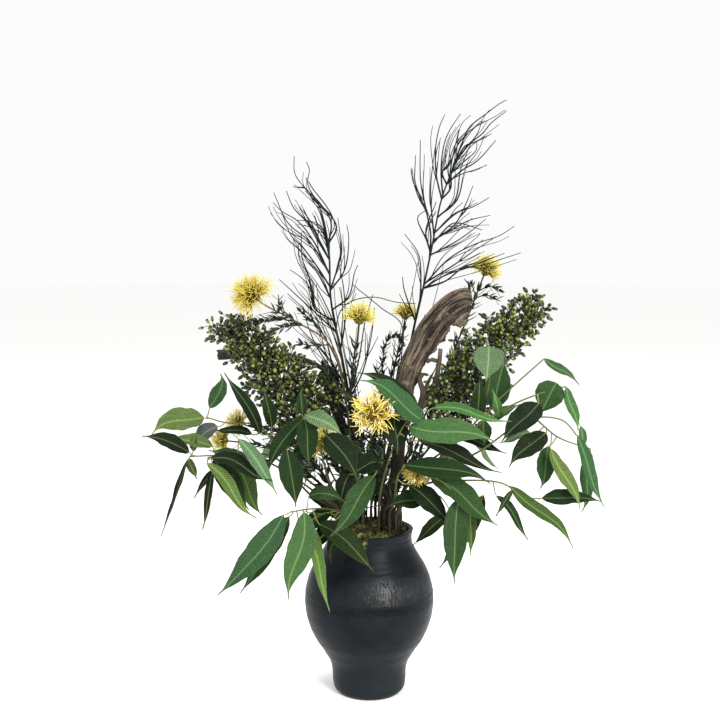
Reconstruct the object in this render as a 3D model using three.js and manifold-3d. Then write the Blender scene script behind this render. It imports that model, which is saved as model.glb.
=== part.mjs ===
// A tall vase of dark stoneware with an ikebana arrangement in it: long curved eucalyptus leaves, yellow
// thread-petalled flowers, two sprays of green berries, two sprays of bare wands, driftwood, bark and moss.
// Millimetres, +Z up. The origin is the middle of the vase's foot, on the surface it stands on.
// The front is -Y.
import * as THREE from "three";
import { mergeVertices } from "three/addons/utils/BufferGeometryUtils.js";
import Module from "manifold-3d";

const wasm = await Module();
wasm.setup();

// ---------- Driving dimensions ----------
const VASE_HEIGHT = 260;
const WALL = 7; // the vase's wall
const FLOOR = 10; // the vase's floor
const FOAM_TOP = 238;
const MOSS_UNDERSIDE = 239;
const MOSS_RADIUS = 57;
const STEM_FOOT = 180; // how far down the stems stand in the foam
const STEM_FREE = 276; // above this height the stems bend out
const STEM_RISE = 14;
const HOLE_TOP = 296;
const CLEARANCE = 0.35; // between pieces that touch
const LEAF_THICKNESS = 1.3;
const LEAFY_STEM = [2.3, 1.3]; // a leafy stem's radius, at its foot and its end
const LEAFY_TWIG = [1.7, 1.2];
const PETIOLE = 1.1;
const FLOWER_STEM = [1.9, 1.3];
const WAND_STEM = [2.4, 1.1];
const WAND = [1.3, 0];
const BERRY_STEM = [2.4, 1.1];
const BERRY_TWIG = 0.9;
const BERRY = 4.2;
const NEEDLE = { length: 15, half: 1.5, root: 0.7 };
const NEEDLE_TWIG = [1.1, 0.8];
const LOOSE_TWIG = [1.5, 0.8];
const WELD = 1e-3;

const STONEWARE = "#22272b";
const FOAM = "#5a6b45";
const MOSS = "#77793c";
const LEAF = "#3f6a34";
const FLOWER = "#dcbc4c";
const FLOWER_STALK = "#3c4428";
const BERRIES = "#7f8f42";
const WANDS_GREEN = "#2f4a38";
const TWIG_GREEN = "#35453a";
const DRIFTWOOD = "#5c4d42";
const BARK = "#55493c";

// The vase's outline: radius and height, from the edge of the foot to the lip.
const OUTLINE = [
  [50, 0],
  [55, 6],
  [57, 17],
  [57.8, 31.5],
  [59.2, 42.5],
  [62.5, 51.5],
  [72.5, 68.5],
  [86.5, 90.5],
  [96.5, 116.5],
  [100.5, 141.5],
  [99, 166.5],
  [92, 190.5],
  [81, 211.5],
  [71.5, 227.5],
  [67, 238.5],
  [66.8, 250],
  [68.5, VASE_HEIGHT],
];

// ---------- Tools ----------
const vec = ([x, y, z]) => new THREE.Vector3(x, y, z);
const mix = THREE.MathUtils.lerp;
const UP = new THREE.Vector3(0, 0, 1);
const RIGHT = new THREE.Vector3(1, 0, 0);
const BACK = new THREE.Vector3(0, 1, 0);

// A stream of numbers from 0 to 1 that is the same each time for the same seed.
function seeded(seed) {
  let state = seed;
  return () => {
    state = (state + 0x6d2b79f5) | 0;
    let t = Math.imul(state ^ (state >>> 15), 1 | state);
    t = (t + Math.imul(t ^ (t >>> 7), 61 | t)) ^ t;
    return ((t ^ (t >>> 14)) >>> 0) / 4294967296;
  };
}

function solidOf(geometry) {
  geometry.deleteAttribute("normal");
  geometry.deleteAttribute("uv");
  const merged = mergeVertices(geometry, WELD);
  const triVerts = new Uint32Array(merged.index.array);
  const vertProperties = merged.attributes.position.array;
  return new wasm.Manifold(new wasm.Mesh({ numProp: 3, vertProperties, triVerts }));
}

function geometryOf(solid) {
  const { vertProperties, triVerts } = solid.getMesh();
  const geometry = new THREE.BufferGeometry();
  geometry.setAttribute("position", new THREE.BufferAttribute(vertProperties, 3));
  geometry.setIndex(new THREE.BufferAttribute(triVerts, 1));
  geometry.computeVertexNormals();
  return geometry;
}

// Everything that grows together, as one body. Tiny hollows sealed between its parts are filled.
function joined(solids) {
  const whole = solids.reduce((sum, solid) => sum.add(solid));
  const bodies = whole.decompose().sort((a, b) => b.volume() - a.volume());
  if (bodies.length > 1 && bodies[1].volume() > 0) throw new Error("a solid lies loose");
  return bodies[0];
}

// A closed skin over rings of points, each ring running counter-clockwise round the way forward. A ring of one
// point closes its end to a tip. From column `turned` on, the quads are split along their other diagonal.
function skin(rings, turned = Infinity) {
  const points = rings.flat();
  const starts = [];
  let next = 0;
  for (const ring of rings) {
    starts.push(next);
    next += ring.length;
  }
  const index = [];
  for (let k = 0; k + 1 < rings.length; k++) {
    const [a, b] = [rings[k].length, rings[k + 1].length];
    for (let i = 0; i < Math.max(a, b); i++) {
      const [near, nearNext] = [starts[k] + (i % a), starts[k] + ((i + 1) % a)];
      const [far, farNext] = [starts[k + 1] + (i % b), starts[k + 1] + ((i + 1) % b)];
      if (a > 1) index.push(near, nearNext, i < turned ? farNext : far);
      if (b > 1) index.push(i < turned ? near : nearNext, farNext, far);
    }
  }
  const last = starts.at(-1);
  for (let i = 1; i + 1 < rings[0].length; i++) index.push(0, i + 1, i);
  for (let i = 1; i + 1 < rings.at(-1).length; i++) index.push(last, last + i, last + i + 1);
  const geometry = new THREE.BufferGeometry().setFromPoints(points);
  geometry.setIndex(index);
  return geometry;
}

// A frame at each stop along a curve, carried along it without twist.
function framesAlong(curve, stops, firstNormal) {
  const normal = firstNormal.clone();
  return stops.map((stop) => {
    const way = curve.getTangentAt(stop);
    normal.addScaledVector(way, -normal.dot(way)).normalize();
    return { at: curve.getPointAt(stop), way, normal: normal.clone(), side: way.clone().cross(normal) };
  });
}

const evenStops = (count) => Array.from({ length: count + 1 }, (_, i) => i / count);
const curveThrough = (points) => new THREE.CatmullRomCurve3(points, false, "centripetal");

function ringAt(frame, radius, sides) {
  return Array.from({ length: sides }, (_, i) => {
    const angle = (2 * Math.PI * i) / sides;
    return frame.at
      .clone()
      .addScaledVector(frame.normal, radius * Math.cos(angle))
      .addScaledVector(frame.side, radius * Math.sin(angle));
  });
}

// The straight stretches between the middles of a rod's rings, which what grows on the rod starts from.
function spineOf(frames) {
  const spine = new THREE.CurvePath();
  for (let i = 1; i < frames.length; i++) spine.add(new THREE.LineCurve3(frames[i - 1].at, frames[i].at));
  return spine;
}

// A round rod along a curve that thins from one radius to the other, or to a point where the other is 0.
function rod(curve, [thick, thin], sides, steps) {
  const firstNormal = Math.abs(curve.getTangentAt(0).x) < 0.9 ? RIGHT : UP;
  const frames = framesAlong(curve, evenStops(steps), firstNormal);
  const rings = frames.map((frame, i) => ringAt(frame, mix(thick, thin, i / steps), sides));
  if (thin === 0) rings[steps] = [frames[steps].at];
  return { solid: solidOf(skin(rings)), spine: spineOf(frames) };
}

// A stem that stands upright in its hole up to STEM_FREE, rises a little and then follows its path.
function plantedStem([x, y], path, radii, sides, spacing) {
  const start = new THREE.Vector3(x, y, STEM_FREE);
  const rise = start.clone().addScaledVector(UP, STEM_RISE);
  const curve = curveThrough([start, rise, ...path.map(vec)]);
  const steps = Math.max(3, Math.round(curve.getLength() / spacing));
  const frames = framesAlong(curve, evenStops(steps), RIGHT);
  frames[0] = { at: start, way: UP, normal: RIGHT, side: BACK };
  const rings = frames.map((frame, i) => ringAt(frame, mix(radii[0], radii[1], i / steps), sides));
  const foot = rings[0].map((point) => point.clone().setZ(STEM_FOOT));
  return { solid: solidOf(skin([foot, ...rings])), spine: spineOf(frames) };
}

// The plain hole that a planted stem stands in.
function holeFor([x, y], radius, sides) {
  const wide = radius + CLEARANCE / Math.cos(Math.PI / sides);
  const ends = [STEM_FOOT - CLEARANCE, HOLE_TOP].map((z) => new THREE.Vector3(x, y, z));
  return solidOf(skin(ends.map((at) => ringAt({ at, normal: RIGHT, side: BACK }, wide, sides))));
}

// The place on any of the spines that is nearest to a point.
function nearestOn(spines, point) {
  const spots = spines.flatMap((spine) => evenStops(80).map((stop) => spine.getPointAt(stop)));
  return spots.reduce((best, spot) => (spot.distanceTo(point) < best.distanceTo(point) ? spot : best));
}

// ---------- The pieces ----------
const arrangement = new THREE.Group();
const holes = [];

function piece(name, solid, color, roughness) {
  const material = new THREE.MeshStandardMaterial({ color, roughness, metalness: 0 });
  const mesh = new THREE.Mesh(geometryOf(solid), material);
  mesh.name = name;
  arrangement.add(mesh);
}

// ---------- Vase ----------
const SECTORS = 24;
const lathe = (outline) => new THREE.LatheGeometry(outline.map(([r, z]) => new THREE.Vector2(r, z)), SECTORS);
const upright = (geometry) => geometry.rotateX(Math.PI / 2);

// The inside follows some of the outline's points, a wall's thickness in from them.
const INSIDE_POINTS = [4, 7, 9, 11, 13, 14, 16];
const FLOOR_RADIUS = 44;

function vaseInside(gap) {
  const walls = INSIDE_POINTS.map((i) => OUTLINE[i]);
  return [[0, FLOOR + gap], [FLOOR_RADIUS - gap, FLOOR + gap], ...walls.map(([r, z]) => [r - WALL - gap, z])];
}

function vase() {
  const inside = vaseInside(0).reverse();
  return solidOf(upright(lathe([[0, 0], ...OUTLINE, ...inside])));
}

// The vase with a thin layer all round it, to cut the moss clear of it.
function vaseEnvelope() {
  const outside = OUTLINE.map(([r, z]) => [r + CLEARANCE, z + (z === VASE_HEIGHT ? CLEARANCE : 0)]);
  return solidOf(upright(lathe([[0, 0], ...outside, ...vaseInside(CLEARANCE).reverse()])));
}

function foam() {
  const walls = vaseInside(CLEARANCE).filter(([, z]) => z < FOAM_TOP);
  const [neck] = vaseInside(CLEARANCE).filter(([, z]) => z >= FOAM_TOP);
  return solidOf(upright(lathe([...walls, [neck[0], FOAM_TOP], [0, FOAM_TOP]])));
}

// ---------- Moss ----------
// A low bumpy cushion in the mouth, with a tuft that hangs over the lip at the front.
const MOSS_TOP = 263;
const MOSS_RINGS = [MOSS_RADIUS, MOSS_RADIUS - 4, 36, 18];
const MOSS_EDGE_DROP = 5;
const MOSS_CORNERS = 18;
const MOSS_TUFT = [
  [-8, -44, 258],
  [-10, -58, 266],
  [-12, -70, 264],
  [-13, -77, 254],
  [-13, -78, 243],
];
const TUFT_RADII = [6, 7, 8, 6.5, 7, 5, 2.5];

function mossHeight(x, y) {
  const bumps = 3.2 * Math.sin(x * 0.21 + 1) * Math.cos(y * 0.19) + 2.2 * Math.sin(x * 0.43 + y * 0.37);
  return MOSS_TOP - 0.0016 * (x * x + y * y) + bumps;
}

function moss() {
  const ring = (radius, height) =>
    Array.from({ length: MOSS_CORNERS }, (_, i) => {
      const angle = (2 * Math.PI * i) / MOSS_CORNERS;
      const [x, y] = [radius * Math.cos(angle), radius * Math.sin(angle)];
      const drop = radius === MOSS_RADIUS ? MOSS_EDGE_DROP : 0;
      return new THREE.Vector3(x, y, height ?? mossHeight(x, y) - drop);
    });
  const centre = [new THREE.Vector3(0, 0, mossHeight(0, 0))];
  const cushion = skin([ring(MOSS_RADIUS - 1, MOSS_UNDERSIDE), ...MOSS_RINGS.map((r) => ring(r)), centre]);
  const frames = framesAlong(curveThrough(MOSS_TUFT.map(vec)), evenStops(TUFT_RADII.length - 1), RIGHT);
  const tuft = skin(frames.map((frame, i) => ringAt(frame, TUFT_RADII[i], 6)));
  return solidOf(cushion).add(solidOf(tuft)).subtract(vaseEnvelope());
}

// ---------- Leaves ----------
const LEAF_STOPS = { short: [0.3, 0.62], middling: [0.2, 0.42, 0.74], long: [0.15, 0.36, 0.6, 0.83] };
const LEAF_FACING = new THREE.Vector3(0, -0.75, 0.66);
const STALK_LENGTH = 10;
const leafWidth = (along) => Math.sin(Math.PI * along ** 0.72);

// One leaf on its stalk: a long blade folded a little along its midrib, with a waved edge and a drawn-out tip.
// arch lifts its middle, bend curves it sideways and roll turns it about its own length. Its two faces are
// split into triangles alike, so that they stay apart where the blade is waved.
function leaf(root, [base, tip, width, shape = {}], random) {
  const { arch = 6, bend = 0, roll = 0 } = shape;
  const [from, to] = [vec(base), vec(tip)];
  const way = to.clone().sub(from).normalize();
  const normal = LEAF_FACING.clone().addScaledVector(way, -LEAF_FACING.dot(way)).normalize();
  normal.applyAxisAngle(way, THREE.MathUtils.degToRad(roll));
  const side = normal.clone().cross(way);
  const [phase, fold] = [2 * Math.PI * random(), 0.16 + 0.12 * random()];
  const ring = (at, half, lift, wave) => [
    at.clone().addScaledVector(side, half).addScaledVector(normal, lift + wave),
    at.clone().addScaledVector(normal, LEAF_THICKNESS / 2),
    at.clone().addScaledVector(side, -half).addScaledVector(normal, lift - wave),
    at.clone().addScaledVector(normal, -LEAF_THICKNESS / 2),
  ];
  const stalk = from.clone().sub(root).normalize();
  const stalkRing = (at, along) => {
    const up = normal.clone().addScaledVector(along, -normal.dot(along)).normalize();
    const out = up.clone().cross(along);
    const arms = [out, up, out.clone().negate(), up.clone().negate()];
    return arms.map((arm) => at.clone().addScaledVector(arm, PETIOLE));
  };
  const rings = [stalkRing(root, stalk), stalkRing(from, stalk.clone().add(way).normalize())];
  const length = from.distanceTo(to);
  const size = length < 50 ? "short" : length < 95 ? "middling" : "long";
  for (const along of LEAF_STOPS[size]) {
    const crown = 4 * along * (1 - along);
    const at = from.clone().lerp(to, along);
    at.addScaledVector(normal, arch * crown).addScaledVector(side, bend * crown);
    const half = (width / 2) * leafWidth(along);
    const wave = 0.09 * half * Math.sin(9 * along + phase);
    rings.push(ring(at, half, fold * half, wave));
  }
  rings.push([to]);
  return solidOf(skin(rings, rings[0].length / 2));
}

// A leafy stem: its own path, side twigs that start on it, and leaves.
function leafySpray(name, seed, { hole, path, twigs, leaves }) {
  const random = seeded(seed);
  const stem = plantedStem(hole, path, LEAFY_STEM, 4, 52);
  holes.push(holeFor(hole, LEAFY_STEM[0], 4));
  const rods = [stem];
  for (const points of twigs) {
    const root = nearestOn([stem.spine], vec(points[0]));
    rods.push(rod(curveThrough([root, ...points.slice(1).map(vec)]), LEAFY_TWIG, 4, 3));
  }
  const solids = rods.map(({ solid }) => solid);
  for (const row of leaves) {
    const [base, tip] = [vec(row[0]), vec(row[1])];
    const behind = base.clone().addScaledVector(tip.sub(base).normalize(), -STALK_LENGTH);
    const root = nearestOn(rods.map(({ spine }) => spine), behind);
    solids.push(leaf(root, row, random));
  }
  piece(name, joined(solids), LEAF, 0.45);
}

// Each leafy stem: where it stands in the mouth, the points of its path, its side twigs, and its leaves
// as base, tip, width and shape.
const SPRAYS = {
  leaves_left_high: {
    hole: [-46, 4],
    path: [[-105, -22, 350], [-170, -28, 425], [-220, -25, 430], [-248, -20, 437]],
    twigs: [],
    leaves: [
      [[-252, -22, 437], [-330, -45, 415], 42, { bend: -6 }],
      [[-245, -10, 450], [-230, 15, 495], 31, { bend: -8 }],
      [[-165, -40, 415], [-220, -58, 510], 24, { bend: -5 }],
      [[-180, -15, 410], [-240, -8, 415], 16, {}],
      [[-148, -34, 425], [-158, -40, 487], 20, {}],
    ],
  },
  leaves_left_low: {
    hole: [-50, -12],
    path: [[-90, -52, 325], [-145, -62, 385], [-210, -66, 388], [-268, -62, 385]],
    twigs: [],
    leaves: [
      [[-268, -70, 393], [-335, -95, 420], 26, { bend: -4 }],
      [[-264, -56, 392], [-260, -50, 420], 12, {}],
      [[-270, -60, 382], [-260, -64, 350], 13, {}],
      [[-272, -66, 380], [-312, -95, 268], 14, { bend: 14, roll: 40 }],
      [[-236, -50, 398], [-305, -60, 412], 22, {}],
    ],
  },
  leaves_left_middle: {
    hole: [-42, -28],
    path: [[-75, -78, 330], [-140, -92, 378], [-190, -92, 395], [-238, -84, 388]],
    twigs: [],
    leaves: [
      [[-190, -110, 420], [-130, -118, 340], 21, {}],
      [[-232, -100, 390], [-140, -125, 358], 24, { bend: 5 }],
      [[-238, -98, 382], [-165, -116, 300], 20, {}],
      [[-230, -80, 385], [-180, -84, 305], 34, {}],
      [[-205, -72, 380], [-160, -70, 295], 28, {}],
      [[-222, -70, 370], [-265, -62, 322], 11, {}],
      [[-232, -78, 372], [-246, -78, 275], 12, {}],
    ],
  },
  leaves_left_front: {
    hole: [-34, -42],
    path: [[-65, -88, 312], [-92, -108, 316], [-116, -116, 314]],
    twigs: [],
    leaves: [
      [[-125, -125, 312], [-220, -150, 195], 40, { bend: 8 }],
      [[-118, -108, 305], [-194, -128, 195], 30, { bend: 6 }],
      [[-95, -132, 318], [-120, -160, 195], 38, { bend: 5 }],
      [[-100, -118, 288], [-55, -135, 170], 18, { bend: 4 }],
      [[-88, -112, 298], [-60, -122, 188], 14, {}],
      [[-74, -112, 295], [5, -138, 230], 35, { bend: 6 }],
      [[-90, -92, 331], [-34, -100, 326], 24, { arch: 16 }],
    ],
  },
  leaves_front_tall: {
    hole: [-28, -30],
    path: [[-60, -78, 350], [-76, -95, 415], [-95, -100, 450]],
    twigs: [],
    leaves: [
      [[-95, -108, 450], [-85, -128, 383], 31, {}],
      [[-99, -90, 452], [-101, -80, 491], 16, {}],
      [[-98, -100, 448], [-150, -106, 368], 26, { bend: -5 }],
      [[-94, -105, 455], [-38, -124, 424], 26, { arch: 14 }],
      [[-120, -112, 405], [-105, -128, 322], 35, {}],
      [[-78, -88, 398], [-122, -80, 388], 22, {}],
    ],
  },
  leaves_front_middle: {
    hole: [-10, -44],
    path: [[-15, -88, 340], [-28, -112, 385], [-56, -124, 428]],
    twigs: [[[-20, -96, 360], [-8, -112, 372], [10, -118, 376]]],
    leaves: [
      [[-64, -128, 430], [-18, -150, 368], 38, { bend: 4 }],
      [[6, -125, 370], [-60, -158, 288], 34, { bend: 6 }],
      [[18, -108, 385], [-26, -112, 370], 36, { arch: 10 }],
      [[-30, -92, 365], [-45, -95, 323], 26, {}],
      [[-16, -98, 372], [-32, -104, 430], 19, {}],
    ],
  },
  leaves_centre: {
    hole: [14, -40],
    path: [[16, -78, 335], [30, -95, 395], [50, -103, 440], [72, -97, 460]],
    twigs: [],
    leaves: [
      [[75, -98, 463], [13, -118, 522], 36, { bend: -6 }],
      [[33, -86, 471], [-19, -96, 526], 26, {}],
      [[56, -114, 440], [180, -150, 420], 44, { arch: 9 }],
      [[36, -84, 452], [40, -106, 395], 38, {}],
      [[72, -102, 416], [190, -128, 370], 26, {}],
      [[92, -88, 462], [205, -118, 446], 17, {}],
    ],
  },
  leaves_right_front: {
    hole: [30, -42],
    path: [[36, -88, 322], [46, -125, 378], [86, -140, 374], [126, -148, 346]],
    twigs: [],
    leaves: [
      [[48, -132, 387], [174, -162, 370], 32, { arch: 10 }],
      [[86, -136, 369], [185, -160, 305], 38, {}],
      [[125, -150, 342], [115, -165, 220], 35, {}],
      [[56, -116, 355], [120, -136, 298], 32, {}],
      [[82, -100, 332], [24, -108, 318], 30, {}],
      [[165, -112, 338], [105, -122, 225], 30, {}],
      [[150, -130, 336], [140, -134, 252], 17, {}],
    ],
  },
  leaves_right_tall: {
    hole: [38, -18],
    path: [[76, -40, 360], [135, -55, 410], [165, -60, 445], [215, -50, 490], [258, -46, 528]],
    twigs: [[[165, -60, 445], [178, -56, 500], [176, -54, 550]]],
    leaves: [
      [[176, -60, 550], [170, -92, 500], 46, { arch: 4 }],
      [[186, -44, 455], [202, -30, 530], 40, {}],
      [[160, -58, 447], [163, -70, 506], 24, {}],
      [[184, -62, 440], [224, -74, 466], 16, {}],
      [[260, -46, 530], [310, -60, 490], 15, {}],
      [[172, -52, 438], [170, -52, 400], 24, {}],
    ],
  },
  leaves_right_middle: {
    hole: [48, -4],
    path: [[86, -60, 362], [148, -80, 428], [215, -78, 468], [262, -68, 484], [290, -62, 490]],
    twigs: [],
    leaves: [
      [[246, -92, 470], [190, -116, 415], 38, {}],
      [[276, -64, 496], [250, -78, 450], 44, { arch: 3 }],
      [[292, -62, 489], [306, -70, 423], 17, {}],
    ],
  },
  leaves_right_low: {
    hole: [44, -24],
    path: [[90, -80, 358], [160, -105, 402], [230, -102, 448], [280, -92, 445], [305, -82, 420]],
    twigs: [[[240, -102, 446], [275, -95, 420], [325, -78, 400]]],
    leaves: [
      [[254, -112, 430], [195, -134, 385], 33, {}],
      [[306, -80, 420], [350, -96, 315], 20, { bend: -8 }],
      [[332, -76, 388], [318, -86, 298], 20, {}],
      [[262, -104, 405], [306, -118, 315], 24, {}],
      [[262, -86, 405], [254, -86, 340], 27, {}],
      [[236, -84, 424], [190, -84, 408], 16, {}],
    ],
  },
  leaves_right_hanging: {
    hole: [40, -34],
    path: [[80, -96, 350], [135, -122, 362], [190, -122, 358], [225, -112, 335], [250, -100, 330]],
    twigs: [],
    leaves: [
      [[202, -124, 354], [290, -148, 263], 23, { bend: 6 }],
      [[182, -126, 340], [230, -136, 278], 14, {}],
      [[252, -98, 330], [342, -96, 322], 26, { arch: 10 }],
      [[205, -128, 350], [180, -140, 312], 9, {}],
    ],
  },
  leaves_back_right: {
    hole: [50, 12],
    path: [[80, 5, 315], [110, 0, 370], [150, 10, 405], [190, 30, 415]],
    twigs: [[[84, 4, 320], [110, -4, 310], [125, -8, 290]]],
    leaves: [
      [[122, -10, 284], [66, -22, 235], 22, {}],
      [[124, -12, 405], [212, -24, 384], 22, {}],
      [[170, 30, 405], [210, 60, 340], 30, { roll: 150 }],
      [[130, 24, 385], [110, 60, 310], 30, { roll: 180 }],
    ],
  },
  leaves_back_left: {
    hole: [-34, 38],
    path: [[-60, 70, 330], [-85, 95, 380], [-120, 110, 400]],
    twigs: [[[-70, 82, 350], [-40, 105, 370], [0, 120, 380]]],
    leaves: [
      [[-124, 112, 400], [-190, 130, 330], 32, { roll: 160 }],
      [[-100, 108, 385], [-110, 140, 290], 32, { roll: 180 }],
      [[4, 122, 378], [40, 150, 300], 32, { roll: 180 }],
      [[6, 118, 388], [70, 130, 410], 28, { roll: 170 }],
    ],
  },
};

// ---------- Flowers ----------
const CORE = 0.3; // the core's part of a head's radius
const STEM_SIDE = -0.62; // how far round towards the stem the threads reach

// A head of threads: a small round core whose skin is drawn out into slim points on every side but the stem's.
function flowerHead(centre, way, radius, detail, random) {
  const sphere = new THREE.IcosahedronGeometry(1, detail);
  sphere.deleteAttribute("normal");
  sphere.deleteAttribute("uv");
  const ball = mergeVertices(sphere, WELD);
  const spots = ball.attributes.position;
  const taken = new Set();
  const corners = [...ball.index.array];
  const isThread = Array.from({ length: spots.count }, (_, i) => {
    if (taken.has(i)) return false;
    for (let f = 0; f < corners.length; f += 3) {
      const face = corners.slice(f, f + 3);
      if (face.includes(i)) face.forEach((corner) => taken.add(corner));
    }
    return true;
  });
  const point = new THREE.Vector3();
  for (let i = 0; i < spots.count; i++) {
    point.fromBufferAttribute(spots, i);
    const isDrawnOut = isThread[i] && point.dot(way) > STEM_SIDE;
    const length = isDrawnOut ? radius * (0.8 + 0.2 * random()) : radius * CORE;
    if (isThread[i]) point.addScaledVector(way, 0.12).normalize();
    spots.setXYZ(i, ...point.multiplyScalar(length).add(centre));
  }
  return solidOf(ball);
}

// A slim pointed needle leaf that starts inside its stem.
function needle(from, way, length) {
  const curve = new THREE.LineCurve3(from, from.clone().addScaledVector(way, length));
  const [root, belly, end] = framesAlong(curve, [0, 0.45, 1], Math.abs(way.z) < 0.9 ? UP : RIGHT);
  return solidOf(skin([ringAt(root, NEEDLE.root, 3), ringAt(belly, NEEDLE.half, 3), [end.at]]));
}

// Pairs of needle leaves along a stem, each pair turned on from the last.
function needlePairs(curve, count, first, last, random) {
  const needles = [];
  for (let i = 0; i < count; i++) {
    const stop = mix(first, last, count > 1 ? i / (count - 1) : 0.5);
    const [at, along] = [curve.getPointAt(stop), curve.getTangentAt(stop)];
    const across = BACK.clone().negate().applyAxisAngle(along, random() * 3 + i * 1.3);
    across.addScaledVector(along, -across.dot(along)).normalize();
    for (const hand of [1, -1]) {
      const lean = along.clone().multiplyScalar(0.9 + 0.3 * random()).addScaledVector(across, hand);
      needles.push(needle(at, lean.normalize(), NEEDLE.length * (0.75 + 0.4 * random())));
    }
  }
  return needles;
}

// A flower: its planted stem with pairs of dark needle leaves, and the head on its end.
function flower(name, seed, { hole, path, radius, detail = 2, pairs, from, twig, spacing = 48 }) {
  const random = seeded(seed);
  const { solid, spine } = plantedStem(hole, path, FLOWER_STEM, 4, spacing);
  holes.push(holeFor(hole, FLOWER_STEM[0], 4));
  const underHead = 1 - (radius * 0.9) / spine.getLength();
  const solids = [solid, ...needlePairs(spine, pairs, from, underHead, random)];
  if (twig) {
    const root = nearestOn([spine], vec(twig[0]));
    const side = rod(curveThrough([root, ...twig.slice(1).map(vec)]), NEEDLE_TWIG, 3, 4);
    solids.push(side.solid, ...needlePairs(side.spine, 3, 0.55, 0.98, random));
  }
  piece(`${name}_stem`, joined(solids), FLOWER_STALK, 0.6);
  const [way, end] = [spine.getTangentAt(1), spine.getPointAt(1)];
  const [mouth, bottom, centre] = [-radius, 2 * CLEARANCE, radius * 0.12].map((step) =>
    end.clone().addScaledVector(way, step),
  );
  const wide = FLOWER_STEM[1] + 4 * CLEARANCE;
  const socket = rod(new THREE.LineCurve3(mouth, bottom), [wide, wide], 4, 1).solid;
  const head = flowerHead(centre, way, radius, detail, random);
  piece(name, joined([head.subtract(socket)]), FLOWER, 0.8);
}

// Each flower: where its stem stands, the stem's path, the head's radius and fineness, how many pairs of needle
// leaves the stem has and from which part of it on, and a drooping side twig where there is one.
const FLOWERS = {
  flower_left_high: {
    hole: [-24, -6],
    path: [
      [-28, -4, 340],
      [-32, 0, 430],
      [-60, -2, 545],
      [-110, -12, 582],
      [-160, -22, 610],
      [-172, -24, 620],
    ],
    radius: 31,
    detail: 3,
    pairs: 3,
    from: 0.62,
  },
  flower_top_left: {
    hole: [-8, 8],
    path: [[-16, 8, 340], [-27, 7, 430], [-27, 4, 500], [-18, 0, 560], [-16, 0, 582]],
    radius: 25,
    pairs: 3,
    from: 0.55,
  },
  flower_top_middle: {
    hole: [20, 46],
    path: [[24, 70, 340], [30, 95, 450], [54, 112, 550], [59, 115, 580]],
    radius: 20,
    pairs: 2,
    from: 0.6,
    twig: [[30, 95, 450], [22, 96, 500], [30, 92, 545], [45, 88, 552], [58, 84, 535]],
  },
  flower_right_high: {
    hole: [30, 38],
    path: [[52, 72, 340], [105, 102, 450], [155, 114, 565], [182, 115, 636], [188, 115, 652]],
    radius: 25,
    pairs: 3,
    from: 0.75,
  },
  flower_centre: {
    hole: [2, -26],
    path: [[4, -48, 340], [6, -64, 400], [6, -86, 440], [5, -104, 455]],
    radius: 35,
    detail: 3,
    pairs: 1,
    from: 0.6,
  },
  flower_right_behind: {
    hole: [38, 28],
    path: [[62, 62, 340], [100, 76, 430], [140, 76, 500], [145, 76, 512]],
    radius: 19,
    pairs: 2,
    from: 0.6,
  },
  flower_left_behind: {
    hole: [-44, 20],
    path: [[-80, 36, 345], [-140, 46, 400], [-190, 44, 412], [-202, 40, 418]],
    radius: 22,
    detail: 1,
    pairs: 1,
    from: 0.6,
  },
  flower_left_low: {
    hole: [-38, -8],
    path: [[-85, -8, 340], [-150, 0, 385], [-210, 0, 396], [-222, 0, 397]],
    radius: 20,
    detail: 1,
    pairs: 1,
    from: 0.6,
  },
  flower_front_left: {
    hole: [-22, -18],
    path: [[-36, -34, 340], [-60, -50, 388], [-70, -54, 402]],
    radius: 26,
    detail: 1,
    pairs: 1,
    from: 0.5,
  },
  flower_front_right: {
    hole: [22, -24],
    path: [[44, -66, 345], [60, -96, 398], [69, -108, 398], [70, -109, 376]],
    spacing: 17,
    radius: 22,
    pairs: 1,
    from: 0.5,
  },
};

// ---------- Berries ----------
// A spray of berries: a stalk with twigs all round it, each strung with berries out to its end.
const BERRIES_ON_TWIG = 3;
const BERRY_TWIGS = 14;

function berryTwig(from, end, lift, random) {
  const curve = curveThrough([from, from.clone().lerp(end, 0.5).add(lift), end]);
  const half = BERRY / curve.getLength();
  const stops = [0];
  const radii = [BERRY_TWIG];
  for (let b = 1; b <= BERRIES_ON_TWIG; b++) {
    const middle = mix(0.2, 1, b / BERRIES_ON_TWIG) - half;
    stops.push(middle - half, middle);
    radii.push(BERRY_TWIG * 0.8, BERRY * (0.9 + 0.2 * random()));
  }
  const frames = framesAlong(curve, [...stops, 1], Math.abs(end.x - from.x) < 20 ? RIGHT : UP);
  const rings = frames.slice(0, -1).map((frame, i) => {
    if (radii[i] > BERRY_TWIG) frame.at.addScaledVector(frame.side, BERRY * (random() - 0.5));
    return ringAt(frame, radii[i], 4);
  });
  return solidOf(skin([...rings, [frames.at(-1).at]]));
}

function berrySpray(name, seed, { hole, path, reach }) {
  const random = seeded(seed);
  const stem = plantedStem(hole, path, BERRY_STEM, 4, 46);
  holes.push(holeFor(hole, BERRY_STEM[0], 4));
  const solids = [stem.solid];
  for (let i = 0; i < BERRY_TWIGS; i++) {
    const along = i / (BERRY_TWIGS - 1);
    const isLast = along === 1;
    const stop = mix(0.44, 0.99, along);
    const [at, way] = [stem.spine.getPointAt(stop), stem.spine.getTangentAt(stop)];
    const across = BACK.clone().negate().applyAxisAngle(way, i * 2.4 + random());
    across.addScaledVector(way, -across.dot(way)).normalize();
    const length = isLast ? 36 : reach * (1 - 0.45 * along) * (0.85 + 0.3 * random());
    const lean = across.multiplyScalar(isLast ? 0.15 : 0.85).addScaledVector(way, 0.7).normalize();
    const end = at.clone().addScaledVector(lean, length).addScaledVector(UP, length * 0.12);
    solids.push(berryTwig(at, end, way.clone().multiplyScalar(3), random));
  }
  piece(name, joined(solids), BERRIES, 0.5);
}

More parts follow.
